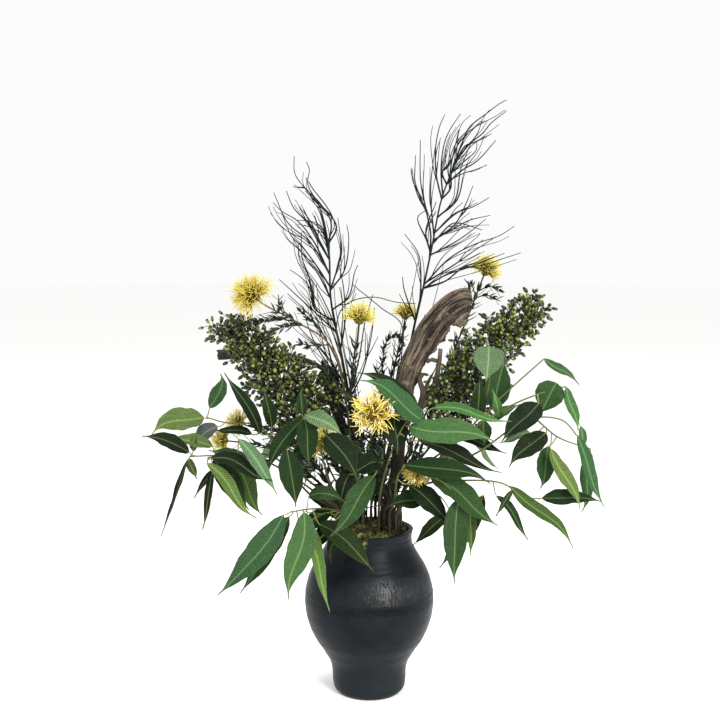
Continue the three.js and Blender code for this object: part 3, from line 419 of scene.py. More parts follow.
# Each leafy stem: where it stands in the mouth, the points of its path, any side twigs, and its leaves as base,
# tip, width, tone and, for some, shape.
SPRAYS = {
    "leaves_left_high": {
        "hole": (-46, 4),
        "path": [(-105, -22, 350), (-170, -28, 425), (-220, -25, 430), (-248, -20, 437)],
        "leaves": [
            ((-252, -22, 437), (-330, -45, 415), 42, "bright", {"bend": -6}),
            ((-245, -10, 450), (-228, 15, 500), 24, "sea", {"bend": -8}),
            ((-165, -40, 415), (-220, -58, 510), 21, "shaded", {"bend": -5}),
            ((-180, -15, 410), (-240, -8, 415), 16, "deep"),
            ((-148, -34, 425), (-158, -40, 487), 20, "deep"),
            ((-230, -30, 424), (-272, -34, 394), 27, "grey"),
        ],
    },
    "leaves_left_low": {
        "hole": (-50, -12),
        "path": [(-90, -52, 325), (-145, -62, 385), (-210, -66, 388), (-268, -62, 385)],
        "leaves": [
            ((-268, -70, 393), (-335, -95, 420), 26, "shaded", {"bend": -4}),
            ((-264, -56, 392), (-260, -50, 420), 12, "plain"),
            ((-270, -60, 382), (-260, -64, 350), 13, "plain"),
            ((-272, -66, 380), (-312, -95, 268), 14, "shaded", {"bend": 14, "roll": 40}),
            ((-236, -50, 398), (-305, -60, 412), 22, "lime"),
        ],
    },
    "leaves_left_middle": {
        "hole": (-42, -28),
        "path": [(-75, -78, 330), (-140, -92, 378), (-190, -92, 395), (-238, -84, 388)],
        "leaves": [
            ((-190, -110, 420), (-130, -118, 340), 21, "pale"),
            ((-232, -100, 390), (-140, -125, 358), 24, "shaded", {"bend": 5}),
            ((-238, -98, 382), (-165, -116, 300), 20, "lime"),
            ((-230, -80, 385), (-180, -84, 305), 34, "old"),
            ((-205, -72, 380), (-160, -70, 295), 28, "plain"),
            ((-222, -70, 370), (-265, -62, 322), 11, "shaded"),
            ((-232, -78, 372), (-246, -78, 275), 12, "shaded"),
            ((-177, -60, 378), (-243, -60, 391), 22, "full"),
            ((-148, -70, 381), (-170, -70, 350), 22, "shaded"),
        ],
    },
    "leaves_left_front": {
        "hole": (-34, -42),
        "path": [(-65, -88, 312), (-92, -108, 316), (-116, -116, 314)],
        "leaves": [
            ((-125, -125, 312), (-220, -150, 195), 40, "sea", {"bend": 8}),
            ((-118, -108, 305), (-194, -128, 195), 30, "full", {"bend": 6}),
            ((-95, -132, 318), (-120, -160, 195), 38, "fresh", {"bend": 5}),
            ((-100, -118, 288), (-55, -135, 170), 18, "lime", {"bend": 4}),
            ((-88, -112, 298), (-60, -122, 188), 14, "bright"),
            ((-74, -112, 295), (5, -138, 230), 35, "old", {"bend": 6}),
            ((-60, -60, 296), (-98, -72, 306), 3, "lime", {"bend": 6}),
            ((-66, -66, 300), (-92, -76, 272), 3, "lime", {"bend": -6}),
            ((-58, -62, 290), (-76, -78, 262), 3, "lime", {"bend": 8}),
            ((-58, -62, 302), (-106, -76, 268), 27, "deep"),
            ((-56, -56, 284), (-88, -86, 240), 24, "shaded"),
            ((-46, -54, 280), (-60, -84, 228), 20, "old"),
            ((-90, -92, 331), (-34, -100, 326), 24, "full", {"arch": 16}),
        ],
    },
    "leaves_front_tall": {
        "hole": (-28, -30),
        "path": [(-60, -78, 350), (-76, -95, 415), (-95, -100, 450)],
        "leaves": [
            ((-95, -108, 450), (-85, -128, 383), 31, "deep"),
            ((-99, -90, 452), (-101, -80, 491), 16, "deep"),
            ((-98, -100, 448), (-150, -106, 368), 26, "deep", {"bend": -5}),
            ((-94, -105, 455), (-38, -124, 424), 26, "pale", {"arch": 14}),
            ((-120, -112, 405), (-105, -128, 322), 35, "deep"),
            ((-78, -88, 398), (-122, -80, 388), 22, "deep"),
        ],
    },
    "leaves_front_middle": {
        "hole": (-10, -44),
        "path": [(-15, -88, 340), (-28, -112, 385), (-56, -124, 428)],
        "twigs": [[(-20, -96, 360), (-8, -112, 372), (10, -118, 376)]],
        "leaves": [
            ((-64, -128, 430), (-18, -150, 368), 38, "shaded", {"bend": 4}),
            ((6, -125, 370), (-60, -158, 288), 34, "full", {"bend": 6}),
            ((18, -108, 385), (-26, -112, 370), 36, "shaded", {"arch": 10}),
            ((-30, -92, 365), (-45, -95, 323), 26, "shaded"),
            ((-16, -98, 372), (-32, -104, 430), 19, "deep"),
        ],
    },
    "leaves_centre": {
        "hole": (14, -40),
        "path": [(16, -78, 335), (30, -95, 395), (50, -103, 440), (72, -97, 460)],
        "leaves": [
            ((78, -110, 445), (-17, -114, 508), 37, "sea", {"bend": -6}),
            ((70, -98, 455), (-21, -98, 517), 28, "shaded", {"bend": -9}),
            ((-11, -30, 444), (-40, -24, 476), 17, "deep"),
            ((56, -114, 440), (180, -150, 420), 44, "fresh", {"arch": 9}),
            ((36, -84, 452), (40, -106, 395), 38, "shaded"),
            ((72, -102, 416), (190, -128, 370), 26, "shaded"),
            ((92, -88, 462), (205, -118, 446), 17, "fresh"),
        ],
    },
    "leaves_right_front": {
        "hole": (30, -42),
        "path": [(36, -88, 322), (46, -125, 378), (86, -140, 374), (126, -148, 346)],
        "leaves": [
            ((48, -132, 387), (174, -162, 370), 32, "deep", {"arch": 10}),
            ((86, -136, 369), (185, -160, 305), 38, "full"),
            ((125, -150, 342), (115, -165, 220), 35, "full"),
            ((56, -116, 355), (120, -136, 298), 32, "shaded"),
            ((82, -100, 332), (24, -108, 318), 30, "deep"),
            ((165, -112, 338), (105, -122, 225), 30, "deep"),
            ((150, -130, 336), (140, -134, 252), 17, "plain"),
        ],
    },
    "leaves_right_tall": {
        "hole": (38, -18),
        "path": [(76, -40, 360), (135, -55, 410), (165, -60, 445), (215, -50, 490), (258, -46, 528)],
        "twigs": [[(165, -60, 445), (178, -56, 500), (176, -54, 550)]],
        "leaves": [
            ((176, -60, 550), (170, -92, 500), 46, "pale", {"arch": 4}),
            ((186, -44, 455), (202, -30, 530), 40, "full"),
            ((160, -58, 447), (163, -70, 506), 24, "deep"),
            ((184, -62, 440), (224, -74, 466), 16, "fresh"),
            ((260, -46, 530), (310, -60, 490), 15, "sea"),
            ((172, -52, 438), (170, -52, 400), 24, "full"),
            ((190, -66, 443), (182, -74, 489), 14, "fresh"),
        ],
    },
    "leaves_right_middle": {
        "hole": (48, -4),
        "path": [(86, -60, 362), (148, -80, 428), (215, -78, 468), (262, -68, 484), (290, -62, 490)],
        "leaves": [
            ((246, -92, 470), (190, -116, 415), 38, "shaded"),
            ((276, -64, 496), (250, -78, 450), 44, "full", {"arch": 3}),
            ((292, -62, 489), (306, -70, 423), 17, "fresh"),
            ((314, -60, 430), (318, -64, 392), 12, "fresh"),
        ],
    },
    "leaves_right_low": {
        "hole": (44, -24),
        "path": [(90, -80, 358), (160, -105, 402), (230, -102, 448), (280, -92, 445), (305, -82, 420)],
        "twigs": [[(240, -102, 446), (275, -95, 420), (325, -78, 400)]],
        "leaves": [
            ((254, -112, 430), (195, -134, 385), 33, "shaded"),
            ((306, -80, 420), (350, -96, 315), 20, "sea", {"bend": -8}),
            ((332, -58, 388), (318, -62, 298), 20, "sea"),
            ((262, -104, 405), (306, -118, 315), 22, "lime"),
            ((262, -86, 405), (254, -86, 340), 27, "full"),
            ((236, -84, 424), (190, -84, 408), 16, "pale"),
        ],
    },
    "leaves_right_hanging": {
        "hole": (40, -34),
        "path": [(80, -96, 350), (135, -122, 362), (190, -122, 358), (225, -112, 335), (250, -100, 330)],
        "leaves": [
            ((202, -124, 354), (290, -148, 263), 21, "plain", {"bend": 6}),
            ((182, -126, 340), (230, -136, 278), 14, "deep"),
            ((252, -98, 330), (342, -96, 322), 26, "deep", {"arch": 10}),
            ((205, -128, 350), (180, -140, 312), 9, "deep"),
        ],
    },
    "leaves_back_right": {
        "hole": (50, 12),
        "path": [(80, 5, 315), (110, 0, 370), (150, 10, 405), (190, 30, 415)],
        "twigs": [[(84, 4, 320), (110, -4, 310), (125, -8, 290)], [(110, 0, 370), (104, 10, 415), (86, 18, 450)]],
        "leaves": [
            ((86, 20, 462), (131, 20, 509), 6, "fresh"),
            ((90, 30, 454), (140, 30, 483), 6, "fresh"),
            ((78, 20, 457), (108, 20, 512), 6, "fresh"),
            ((96, 10, 432), (132, 4, 470), 7, "full"),
            ((122, -10, 284), (66, -22, 235), 22, "old"),
            ((124, -12, 405), (212, -24, 384), 22, "shaded"),
            ((170, 30, 405), (210, 60, 340), 30, "sea", {"roll": 150}),
            ((130, 24, 385), (110, 60, 310), 30, "sea", {"roll": 180}),
        ],
    },
    "leaves_back_left": {
        "hole": (-34, 38),
        "path": [(-60, 70, 330), (-85, 95, 380), (-120, 110, 400)],
        "twigs": [[(-70, 82, 350), (-40, 105, 370), (0, 120, 380)]],
        "leaves": [
            ((-30, 30, 300), (14, 34, 322), 26, "shaded"),
            ((36, 24, 300), (2, 28, 318), 24, "shaded"),
            ((-44, 34, 290), (-8, 40, 338), 22, "shaded"),
            ((-124, 112, 400), (-190, 130, 330), 32, "sea", {"roll": 160}),
            ((-100, 108, 385), (-110, 140, 290), 32, "full", {"roll": 180}),
            ((4, 122, 378), (40, 150, 300), 32, "sea", {"roll": 180}),
            ((6, 118, 388), (70, 130, 410), 28, "fresh", {"roll": 170}),
            ((-96, 36, 306), (-30, 40, 276), 24, "shaded"),
            ((-88, 50, 296), (-44, 44, 256), 20, "deep"),
            ((-40, 44, 300), (-2, 48, 262), 18, "shaded"),
        ],
    },
}


# ---------- Flowers ----------
NEEDLE_DARK = linear("#151b14")
NEEDLE_LIGHT = linear("#36452c")
STEM_TAN = linear("#5d4932")
STEM_DARK = linear("#272b1b")
CORE = 0.3  # the core's part of a head's radius
CORE_BUMPS = 0.1
# Radii of a flower's stem, its side shoots and its side twigs, at the foot and at the tip, and the lengths of the
# needle leaves on each.
FLOWER_GIRTHS, FLOWER_NEEDLE = (1.9, 1.2), 22
SHOOT_GIRTHS, SHOOT_NEEDLE = (1.0, 0.5), 17
SIDE_GIRTHS, SIDE_NEEDLE = (1.1, 0.7), 15


def head_tree():
    """Grows threads out of a head's core on every side but the stem's: each is bent its own way and thins
    towards its end. along runs from 0 at its root to 1 at its end."""
    inputs = {
        "Threads": ("Float", 90000.0),
        "Length": ("Float", 0.02),
        "Shortest": ("Float", 0.72),
        "Thread Radius": ("Float", 0.00045),
        "Bend": ("Float", 0.25),
        "Furthest Back": ("Float", -0.6),
        "Centre": ("Vector", None),
        "Way": ("Vector", None),
        "Seed": ("Int", 1),
        **FINISHES,
    }
    tree, given, out = tree_with("thread_head", inputs)
    ins = {"Mesh": given["Geometry"], "Density": given["Threads"], "Seed": given["Seed"]}
    spread = node(tree, "GeometryNodeDistributePointsOnFaces", ins)
    place = node(tree, "GeometryNodeInputPosition")
    offset = node(tree, "ShaderNodeVectorMath", {0: place, 1: given["Centre"]}, operation="SUBTRACT")
    outward = node(tree, "ShaderNodeVectorMath", {0: offset}, operation="NORMALIZE")
    facing = node(tree, "ShaderNodeVectorMath", {0: outward, 1: given["Way"]}, operation="DOT_PRODUCT")
    ins = {"A": facing, "B": given["Furthest Back"]}
    is_back = node(tree, "FunctionNodeCompare", ins, data_type="FLOAT", operation="LESS_THAN")
    kept = node(tree, "GeometryNodeDeleteGeometry", {"Geometry": spread, "Selection": is_back})
    # The threads lean a little towards the head's front.
    leaning = node(tree, "ShaderNodeVectorMath", {0: given["Way"], "Scale": 0.25}, operation="SCALE")
    fanned = node(tree, "ShaderNodeVectorMath", {0: outward, 1: leaning})
    aligned = node(tree, "FunctionNodeAlignRotationToVector", {"Vector": fanned}, axis="Z")
    thread = node(tree, "GeometryNodeCurvePrimitiveLine", {"Start": (0.0, 0.0, 0.0), "End": (0.0, 0.0, 1.0)})
    cut = node(tree, "GeometryNodeResampleCurve", {"Curve": thread, "Count": 7})
    part = node(tree, "GeometryNodeSplineParameter")
    bow = node(tree, "ShaderNodeMath", {0: part, 1: 2.0}, operation="POWER")
    bent = node(tree, "ShaderNodeMath", {0: bow, 1: given["Bend"]}, operation="MULTIPLY")
    push = node(tree, "ShaderNodeCombineXYZ", {"X": bent})
    curved = node(tree, "GeometryNodeSetPosition", {"Geometry": cut, "Offset": push})
    spins = ((0.0, 0.0, 0.0), (0.35, 0.35, FULL_TURN))
    placed = strewn(tree, given, curved, kept, aligned, spins, given["Shortest"])
    real = node(tree, "GeometryNodeRealizeInstances", {"Geometry": placed})
    ins = {"Geometry": real, "Name": "along", "Value": part}
    marked = node(tree, "GeometryNodeStoreNamedAttribute", ins, data_type="FLOAT", domain="POINT")
    slim = node(tree, "ShaderNodeMapRange", {"Value": part, "To Min": 1.0, "To Max": 0.6})
    radius = node(tree, "ShaderNodeMath", {0: slim, 1: given["Thread Radius"]}, operation="MULTIPLY")
    both = node(tree, "GeometryNodeJoinGeometry", {"Geometry": given["Geometry"]})
    plug(both, {"Geometry": tubes(tree, marked, 4, radius)})
    finish_tree(tree, both, given, out)
    return tree


def ball(centre, radius):
    """A closed round core, a little uneven."""
    rows, columns = 10, 16
    points = [Vector((0, 0, 1))]
    for i in range(1, rows):
        for j in range(columns):
            a, b = math.pi * i / rows, 2 * math.pi * j / columns
            points.append(Vector((math.sin(a) * math.cos(b), math.sin(a) * math.sin(b), math.cos(a))))
    points.append(Vector((0, 0, -1)))
    last, faces = len(points) - 1, []
    for j in range(columns):
        k = (j + 1) % columns
        faces.append((0, 1 + j, 1 + k))
        for i in range(rows - 2):
            a, b = 1 + i * columns, 1 + (i + 1) * columns
            faces.append((a + j, b + j, b + k, a + k))
        faces.append((last, last - columns + k, last - columns + j))
    swells = [1 + CORE_BUMPS * noise.noise(p * 2.3 + centre) for p in points]
    made = bpy.data.meshes.new("core")
    made.from_pydata([(centre + p * radius * swell) * MM for p, swell in zip(points, swells)], [], faces)
    return made


def needle_leaf(growth, start, way, up, length, tint):
    """A slim pointed needle leaf, flat on top and keeled below."""
    side, rings = way.cross(up), []
    for i in range(6):
        share = i / 6
        half = 0.5 + 1.8 * math.sin(math.pi * share**0.6)
        at = start + way * length * share + up * 0.16 * length * share * share
        arms = (side * half, up * 0.4, side * -half, up * -0.5)
        rings.append([growth.spot(at + arm, tint) for arm in arms])
    end = growth.spot(start + way * length + up * 0.16 * length, tint)
    for near, far in zip(rings, rings[1:]):
        for j in range(4):
            growth.faces.append((near[j], far[j], far[(j + 1) % 4], near[(j + 1) % 4]))
    for j in range(4):
        growth.faces.append((rings[-1][j], end, rings[-1][(j + 1) % 4]))
    growth.faces.append(rings[0])


def needle_pairs(growth, line, first, spacing, draw, length):
    """Needle leaves in twos and threes along a stem from a part of it on, about the spacing apart, each pair turned
    on from the last."""
    k, turn = int(first * (len(line) - 1)), 0
    while k < len(line) - 2:
        way = way_at(line, k)
        for hand in range(draw.choice((2, 2, 3))):
            out = turned(square_to(way, (0.3, -1, 0.1)), way, turn * 77 + hand * 170 + draw.uniform(-25, 25))
            lean = (way * draw.uniform(0.5, 1.1) + out).normalized()
            tint = blended(NEEDLE_DARK, NEEDLE_LIGHT, draw.random() ** 2)
            needle_leaf(growth, line[k], lean, square_to(lean, way), length * draw.uniform(0.65, 1.15), tint)
        turn += 1
        k += max(1, round(spacing * draw.uniform(0.8, 1.3) / 4))


def flower(name, seed, row, settings, trees, finishes):
    """A flower: its stem with needle leaves, and its head of threads."""
    draw = random.Random(seed)
    growth = Growth()
    stem = planted(row["hole"], row["path"], 4)
    tip = STEM_TAN if row["is_tan"] else STEM_DARK
    growth.line(stem, FLOWER_GIRTHS, STEM_DARK, tip)
    bare = int(row["radius"] / 5)  # steps of the stem below the head that have no needle leaves
    needle_pairs(growth, stem[:-bare], row["needles_from"], 8, draw, FLOWER_NEEDLE)
    for _ in range(row["shoots"]):
        # Side shoots with needle leaves, from low on the stem.
        k = draw.randrange(4, max(6, len(stem) // 2))
        way = (way_at(stem, k) + Vector((draw.uniform(-0.5, 0.5), draw.uniform(-0.3, 0.3), 0.2))).normalized()
        end = stem[k] + way * draw.uniform(70, 130)
        shoot = smooth_path([stem[k], stem[k].lerp(end, 0.5) + Vector((draw.uniform(-6, 6), 0, 0)), end], 4)
        growth.line(shoot, SHOOT_GIRTHS, STEM_DARK, NEEDLE_DARK)
        needle_pairs(growth, shoot, 0.2, 7, draw, SHOOT_NEEDLE)
    for points in row.get("twigs", ()):
        twig = smooth_path([nearest(stem, points[0]), *points[1:]], 4)
        growth.line(twig, SIDE_GIRTHS, STEM_DARK, NEEDLE_DARK)
        needle_pairs(growth, twig, 0.3, 5, draw, SIDE_NEEDLE)
    inputs = {"Sides": 8, "Finish": finishes["needle"], "Stem Finish": finishes["stem"]}
    made = baked(name + "_stalk", growth.mesh(name), trees["growth"], inputs)
    seated(made, "flower_stem", name + "_stem")

    way, radius = way_at(stem, len(stem) - 1), row["radius"]
    centre = stem[-1] + way * radius * 0.12
    core = radius * CORE
    inputs = {
        "Threads": row["threads"] / (4 * math.pi * (core * MM) ** 2),
        "Length": (radius * settings.head_size - core * 0.9) * MM,
        "Shortest": row["shortest"],
        "Thread Radius": settings.thread_width / 2 * row["thick"],
        "Bend": row["bend"],
        "Furthest Back": row["back"],
        "Centre": centre * MM,
        "Way": way,
        "Seed": seed,
        "Finish": finishes[row["finish"]],
        "Stem Finish": finishes[row["finish"]],
    }
    made = baked(name + "_head", ball(centre, core * 0.98), trees["head"], inputs)
    seated(made, "petal", name)


# Each flower: where its stem stands, the stem's path, any side twigs, from which part of the stem on it has needle
# leaves, how many side shoots it has, whether it is tan, and the head's radius, threads, shortest thread, bend,
# thickness of thread, how far round towards the stem its threads reach, and finish. FLOWER has the usual values.
FLOWER = {"is_tan": False, "shortest": 0.75, "bend": 0.22, "thick": 1.1, "back": -0.5, "finish": "yellow"}
FLOWERS = {
    "flower_left_high": {
        "hole": (-24, -6),
        "path": [
            (-28, -4, 340), (-32, 0, 430), (-60, -2, 545), (-110, -12, 582), (-160, -22, 610), (-172, -24, 620),
        ],
        "twigs": [
            [(-110, -12, 582), (-140, -20, 588), (-186, -24, 580)],
            [(-128, -16, 592), (-134, -18, 603), (-138, -18, 624)],
            [(-72, -6, 556), (-84, -10, 580), (-110, -10, 604)],
            [(-100, -10, 578), (-128, -16, 576), (-150, -18, 566)],
            [(-60, -2, 545), (-92, -8, 546), (-112, -10, 552)],
        ],
        "needles_from": 0.86, "shoots": 0, "is_tan": True, "radius": 37, "threads": 700, "shortest": 0.55,
        "bend": 0.42, "thick": 1.15, "back": -0.6, "finish": "golden",
    },
    "flower_top_left": {
        "hole": (-8, 8),
        "path": [(-16, 8, 340), (-27, 7, 430), (-27, 4, 500), (-18, 0, 560), (-16, 0, 582)],
        "needles_from": 0.35, "shoots": 6, "radius": 30, "threads": 430, "back": -0.15,
    },
    "flower_top_middle": {
        "hole": (20, 46),
        "path": [(24, 70, 340), (30, 95, 450), (54, 112, 550), (59, 115, 580)],
        "twigs": [[(30, 95, 450), (22, 96, 500), (30, 92, 545), (45, 88, 552), (58, 84, 535)]],
        "needles_from": 0.35, "shoots": 5, "radius": 24, "threads": 340, "back": -0.15,
    },
    "flower_right_high": {
        "hole": (30, 38),
        "path": [(52, 72, 340), (105, 102, 450), (155, 114, 565), (182, 115, 636), (188, 115, 652)],
        "twigs": [
            [(172, 114, 610), (190, 112, 616), (214, 110, 606)],
            [(176, 114, 622), (196, 112, 630), (218, 110, 622)],
            [(170, 114, 604), (164, 112, 620), (164, 110, 640)],
        ],
        "needles_from": 0.5, "shoots": 3, "radius": 29, "threads": 430, "back": -0.4,
    },
    "flower_centre": {
        "hole": (2, -26),
        "path": [(4, -48, 340), (6, -64, 400), (6, -86, 440), (5, -104, 455)],
        "needles_from": 0.4, "shoots": 7, "radius": 38, "threads": 230, "shortest": 0.6, "bend": 0.6, "thick": 1.5,
        "back": -0.62, "finish": "cream",
    },
    "flower_right_behind": {
        "hole": (38, 28),
        "path": [(62, 62, 340), (100, 76, 430), (140, 76, 500), (145, 76, 512)],
        "needles_from": 0.45, "shoots": 2, "radius": 22, "threads": 300,
    },
    "flower_left_behind": {
        "hole": (-44, 20),
        "path": [(-80, 36, 345), (-140, 46, 400), (-190, 44, 412), (-202, 40, 418)],
        "needles_from": 0.4, "shoots": 5, "radius": 25, "threads": 300,
    },
    "flower_left_low": {
        "hole": (-38, -8),
        "path": [(-85, -8, 340), (-150, 0, 385), (-210, 0, 396), (-222, 0, 397)],
        "needles_from": 0.5, "shoots": 4, "radius": 23, "threads": 300,
    },
    "flower_front_left": {
        "hole": (-22, -18),
        "path": [(-36, -34, 340), (-60, -50, 388), (-70, -54, 402)],
        "needles_from": 0.3, "shoots": 7, "radius": 28, "threads": 320, "bend": 0.25, "back": -0.6,
    },
    "flower_front_right": {
        "hole": (22, -24),
        "path": [(44, -66, 345), (60, -96, 398), (69, -108, 398), (70, -109, 376)],
        "needles_from": 0.3, "shoots": 5, "radius": 25, "threads": 300, "bend": 0.25, "back": -0.2,
        "finish": "golden",
    },
}


# ---------- Berries ----------
# The berry stalks are darker than their own colour: painted shade for the gaps between the berries.
BERRY_STALK = linear("#12180e")
BERRY_STALK_TIP = linear("#222b17")
UNRIPE = linear("#1f2915")
RIPE = linear("#7d8a3a")
# Radii at the foot and at the tip: of a spray's stalk, of its branches and of a berry's own stalk.
SPRAY_GIRTHS = (2.4, 0.9)
BRANCH_GIRTHS = (0.9, 0.5)
BERRY_GIRTHS = (0.45, 0.4)
GOLDEN_ANGLE = 137.5  # how far each branch is turned on from the last, in degrees


def berry_tree():
    """Sets an egg-shaped berry on each point, along the point's way and in the point's size. along runs from 0
    at its stalk to 1 at its end; the stalks stay as stems."""
    tree, given, out = tree_with("berries", {"Sides": ("Int", 5), **FINISHES})
    stalks, rest = stemmed(tree, given)
    size = node(tree, "GeometryNodeInputNamedAttribute", {"Name": "size"}, data_type="FLOAT")
    way = node(tree, "GeometryNodeInputNamedAttribute", {"Name": "way"}, data_type="FLOAT_VECTOR")
    berry = node(tree, "GeometryNodeMeshUVSphere", {"Segments": 8, "Rings": 6, "Radius": 0.5})
    place = node(tree, "GeometryNodeInputPosition")
    height = node(tree, "ShaderNodeSeparateXYZ", {"Vector": place}).outputs["Z"]
    along = node(tree, "ShaderNodeMath", {0: height, 1: 0.5})
    ins = {"Geometry": berry, "Name": "along", "Value": along}
    marked = node(tree, "GeometryNodeStoreNamedAttribute", ins, data_type="FLOAT", domain="POINT")
    # An egg: longer than it is wide, and narrower at its end than at its stalk.
    waist = node(tree, "ShaderNodeMapRange", {"Value": along, "To Min": 1.08, "To Max": 0.74})
    shape = node(tree, "ShaderNodeCombineXYZ", {"X": waist, "Y": waist, "Z": 1.7})
    egg = node(tree, "ShaderNodeVectorMath", {0: place, 1: shape}, operation="MULTIPLY")
    shaped = node(tree, "GeometryNodeSetPosition", {"Geometry": marked, "Position": egg})
    aligned = node(tree, "FunctionNodeAlignRotationToVector", {"Vector": way}, axis="Z")
    points = node(tree, "GeometryNodeMeshToPoints", {"Mesh": rest})
    ins = {"Points": points, "Instance": shaped, "Rotation": aligned, "Scale": size}
    placed = node(tree, "GeometryNodeInstanceOnPoints", ins)
    both = node(tree, "GeometryNodeJoinGeometry", {"Geometry": placed})
    plug(both, {"Geometry": stalks})
    finish_tree(tree, both, given, out)
    return tree


def berry_spray(name, seed, row, settings, tree, finishes):
    """A broad spray: side branches all round the stalk, with berries on short stalks along them."""
    draw = random.Random(seed)
    growth = Growth("way", "size")
    stem = planted(row["hole"], row["path"], 5)
    growth.line(stem, SPRAY_GIRTHS, BERRY_STALK, BERRY_STALK_TIP)
    first, count = int(len(stem) * row["from"]), settings.berry_branches
    for i in range(count):
        share = i / (count - 1)
        k = int(mix(first, len(stem) - 1, share))
        way = way_at(stem, k)
        out = turned(square_to(way, (0, -1, 0)), way, i * GOLDEN_ANGLE + draw.uniform(-20, 20))
        out = Vector((out.x, out.y * 0.8, out.z)).normalized()
        length = row["reach"] * mix(1.0, 0.5, share**1.3) * draw.uniform(0.7, 1.12)
        lean = (out * mix(0.95, 0.35, share**3) + way * 0.62 + Vector((0, 0, 0.22))).normalized()
        end = stem[k] + lean * length
        branch = smooth_path([stem[k], stem[k].lerp(end, 0.5) + way * 3 + Vector((0, 0, -2)), end], 4.5)
        growth.line(branch, BRANCH_GIRTHS, BERRY_STALK, BERRY_STALK_TIP)
        for j in range(1, len(branch)):
            if draw.random() > mix(0.35, 1.0, j / (len(branch) - 1)) * settings.berry_fullness:
                continue
            along = way_at(branch, j)
            for _ in range(draw.choice((1, 2, 2, 3))):
                aside = turned(square_to(along, (0, -1, 0.3)), along, draw.uniform(0, 360))
                stretch = (along * draw.uniform(0.1, 1.0) + aside).normalized()
                tip = branch[j] + stretch * draw.uniform(5, 15)
                middle = branch[j].lerp(tip, 0.6) + Vector((0, 0, 0.6))
                growth.line([branch[j], middle, tip], BERRY_GIRTHS, BERRY_STALK_TIP)
                size = settings.berry_size * draw.uniform(0.78, 1.15)
                tint = blended(UNRIPE, RIPE, draw.random() ** 1.3)
                growth.spot(tip + stretch * size * 0.6 / MM, tint, 0.0, stretch, size)
    inputs = {"Sides": 5, "Finish": finishes[0], "Stem Finish": finishes[1]}
    made = baked(name + "_spray", growth.mesh(name), tree, inputs)
    seated(made, "berry", name)


# Each spray of berries: where it stands, its stalk's path, from which part of it on it has branches, and how far
# the lowest of these reach.
BERRY_SPRAYS = {
    "berries_left": {
        "hole": (-34, 18),
        "path": [(-40, 14, 350), (-60, 12, 396), (-100, 10, 446), (-140, 8, 492), (-182, 8, 536), (-212, 8, 560)],
        "from": 0.4,
        "reach": 72,
    },
    "berries_right": {
        "hole": (46, 28),
        "path": [(70, 36, 345), (108, 28, 400), (140, 24, 460), (178, 22, 520), (214, 22, 562), (246, 22, 588)],
        "from": 0.42,
        "reach": 70,
    },
}


# ---------- Wands and twigs ----------
WAND_FOOT = linear("#0c130e")
WAND_TIP = linear("#142016")
TWIG_FOOT = linear("#262b24")
TWIG_TIP = linear("#323b2c")
# Radii at the foot and at the tip: of a spray's stem, its wands, their offshoots and its shafts, and of lone twigs.
WAND_STEM_GIRTHS = (2.5, 1.1)
WAND_GIRTHS = (1.6, 0.6)
OFFSHOOT_GIRTHS = (0.85, 0.45)
SHAFT_GIRTHS = (1.3, 0.5)
LONE_GIRTHS = (1.5, 0.7)
WAND_TOP = 916  # no offshoot goes higher than this


def offshoots(growth, line, count, draw):
    """Thinner wands that part from a wand and run on beside it in a loose wave."""
    for _ in range(count):
        # Each parts from the wand's first half and ends in its last quarter.
        k = draw.randrange(0, max(1, len(line) // 2))
        last = draw.randrange(len(line) * 3 // 4, len(line))
        way = way_at(line, k)
        out = turned(square_to(way, (1, 0, 0)), way, draw.uniform(-60, 60) + draw.choice((0, 180)))
        gap, phase, path = draw.uniform(6, 21), draw.uniform(0, FULL_TURN), [line[k]]
        for j in range(k + 3, last, 3):
            share = (j - k) / (last - k)
            spot = line[j] + out * (gap * share**0.75 + 1.6 * math.sin(6 * share + phase))
            spot.z = min(spot.z, WAND_TOP)
            path.append(spot)
        if len(path) > 2:
            growth.line(smooth_path(path, 6), OFFSHOOT_GIRTHS, blended(WAND_FOOT, WAND_TIP, 0.5), WAND_TIP)


def wand_spray(name, seed, row, tree, finishes):
    """A spray of bare wands that fork from a stem and from each other."""
    draw = random.Random(seed)
    growth = Growth()
    stem = planted(row["hole"], row["path"], 6)
    growth.line(stem, WAND_STEM_GIRTHS, WAND_FOOT, blended(WAND_FOOT, WAND_TIP, 0.5))
    depth = row["path"][-1][1]
    spots = list(stem)
    for points in row["wands"]:
        (x, z), rest = points[0], points[1:]
        root = nearest(spots, (x, depth, z))
        away = draw.uniform(-row["spread"], row["spread"])
        bends = [(px, root.y + away * (i + 1) / len(rest), pz) for i, (px, pz) in enumerate(rest)]
        line = smooth_path([root, *bends], 6)
        growth.line(line, WAND_GIRTHS, WAND_FOOT, WAND_TIP)
        spots += line[1 : len(line) // 2]
        offshoots(growth, line, row["shoots"], draw)
    for _ in range(row["shafts"]):
        # Thin shafts that stand close round the stem and part from it higher up.
        first, last = 3, draw.randrange(len(stem) // 2, len(stem) * 4 // 5)
        aside = Vector((draw.uniform(-15, 13), draw.uniform(-13, 6), 0))
        shaft = [p + aside * min(1, (i + 1) / 8) * (1 + i / last) for i, p in enumerate(stem[first:last])]
        growth.line(smooth_path([stem[first], *shaft[3::7]], 7), SHAFT_GIRTHS, WAND_FOOT, WAND_TIP)
    inputs = {"Sides": 6, "Finish": finishes[0], "Stem Finish": finishes[1]}
    made = baked(name + "_spray", growth.mesh(name), tree, inputs)
    seated(made, "wand", name)


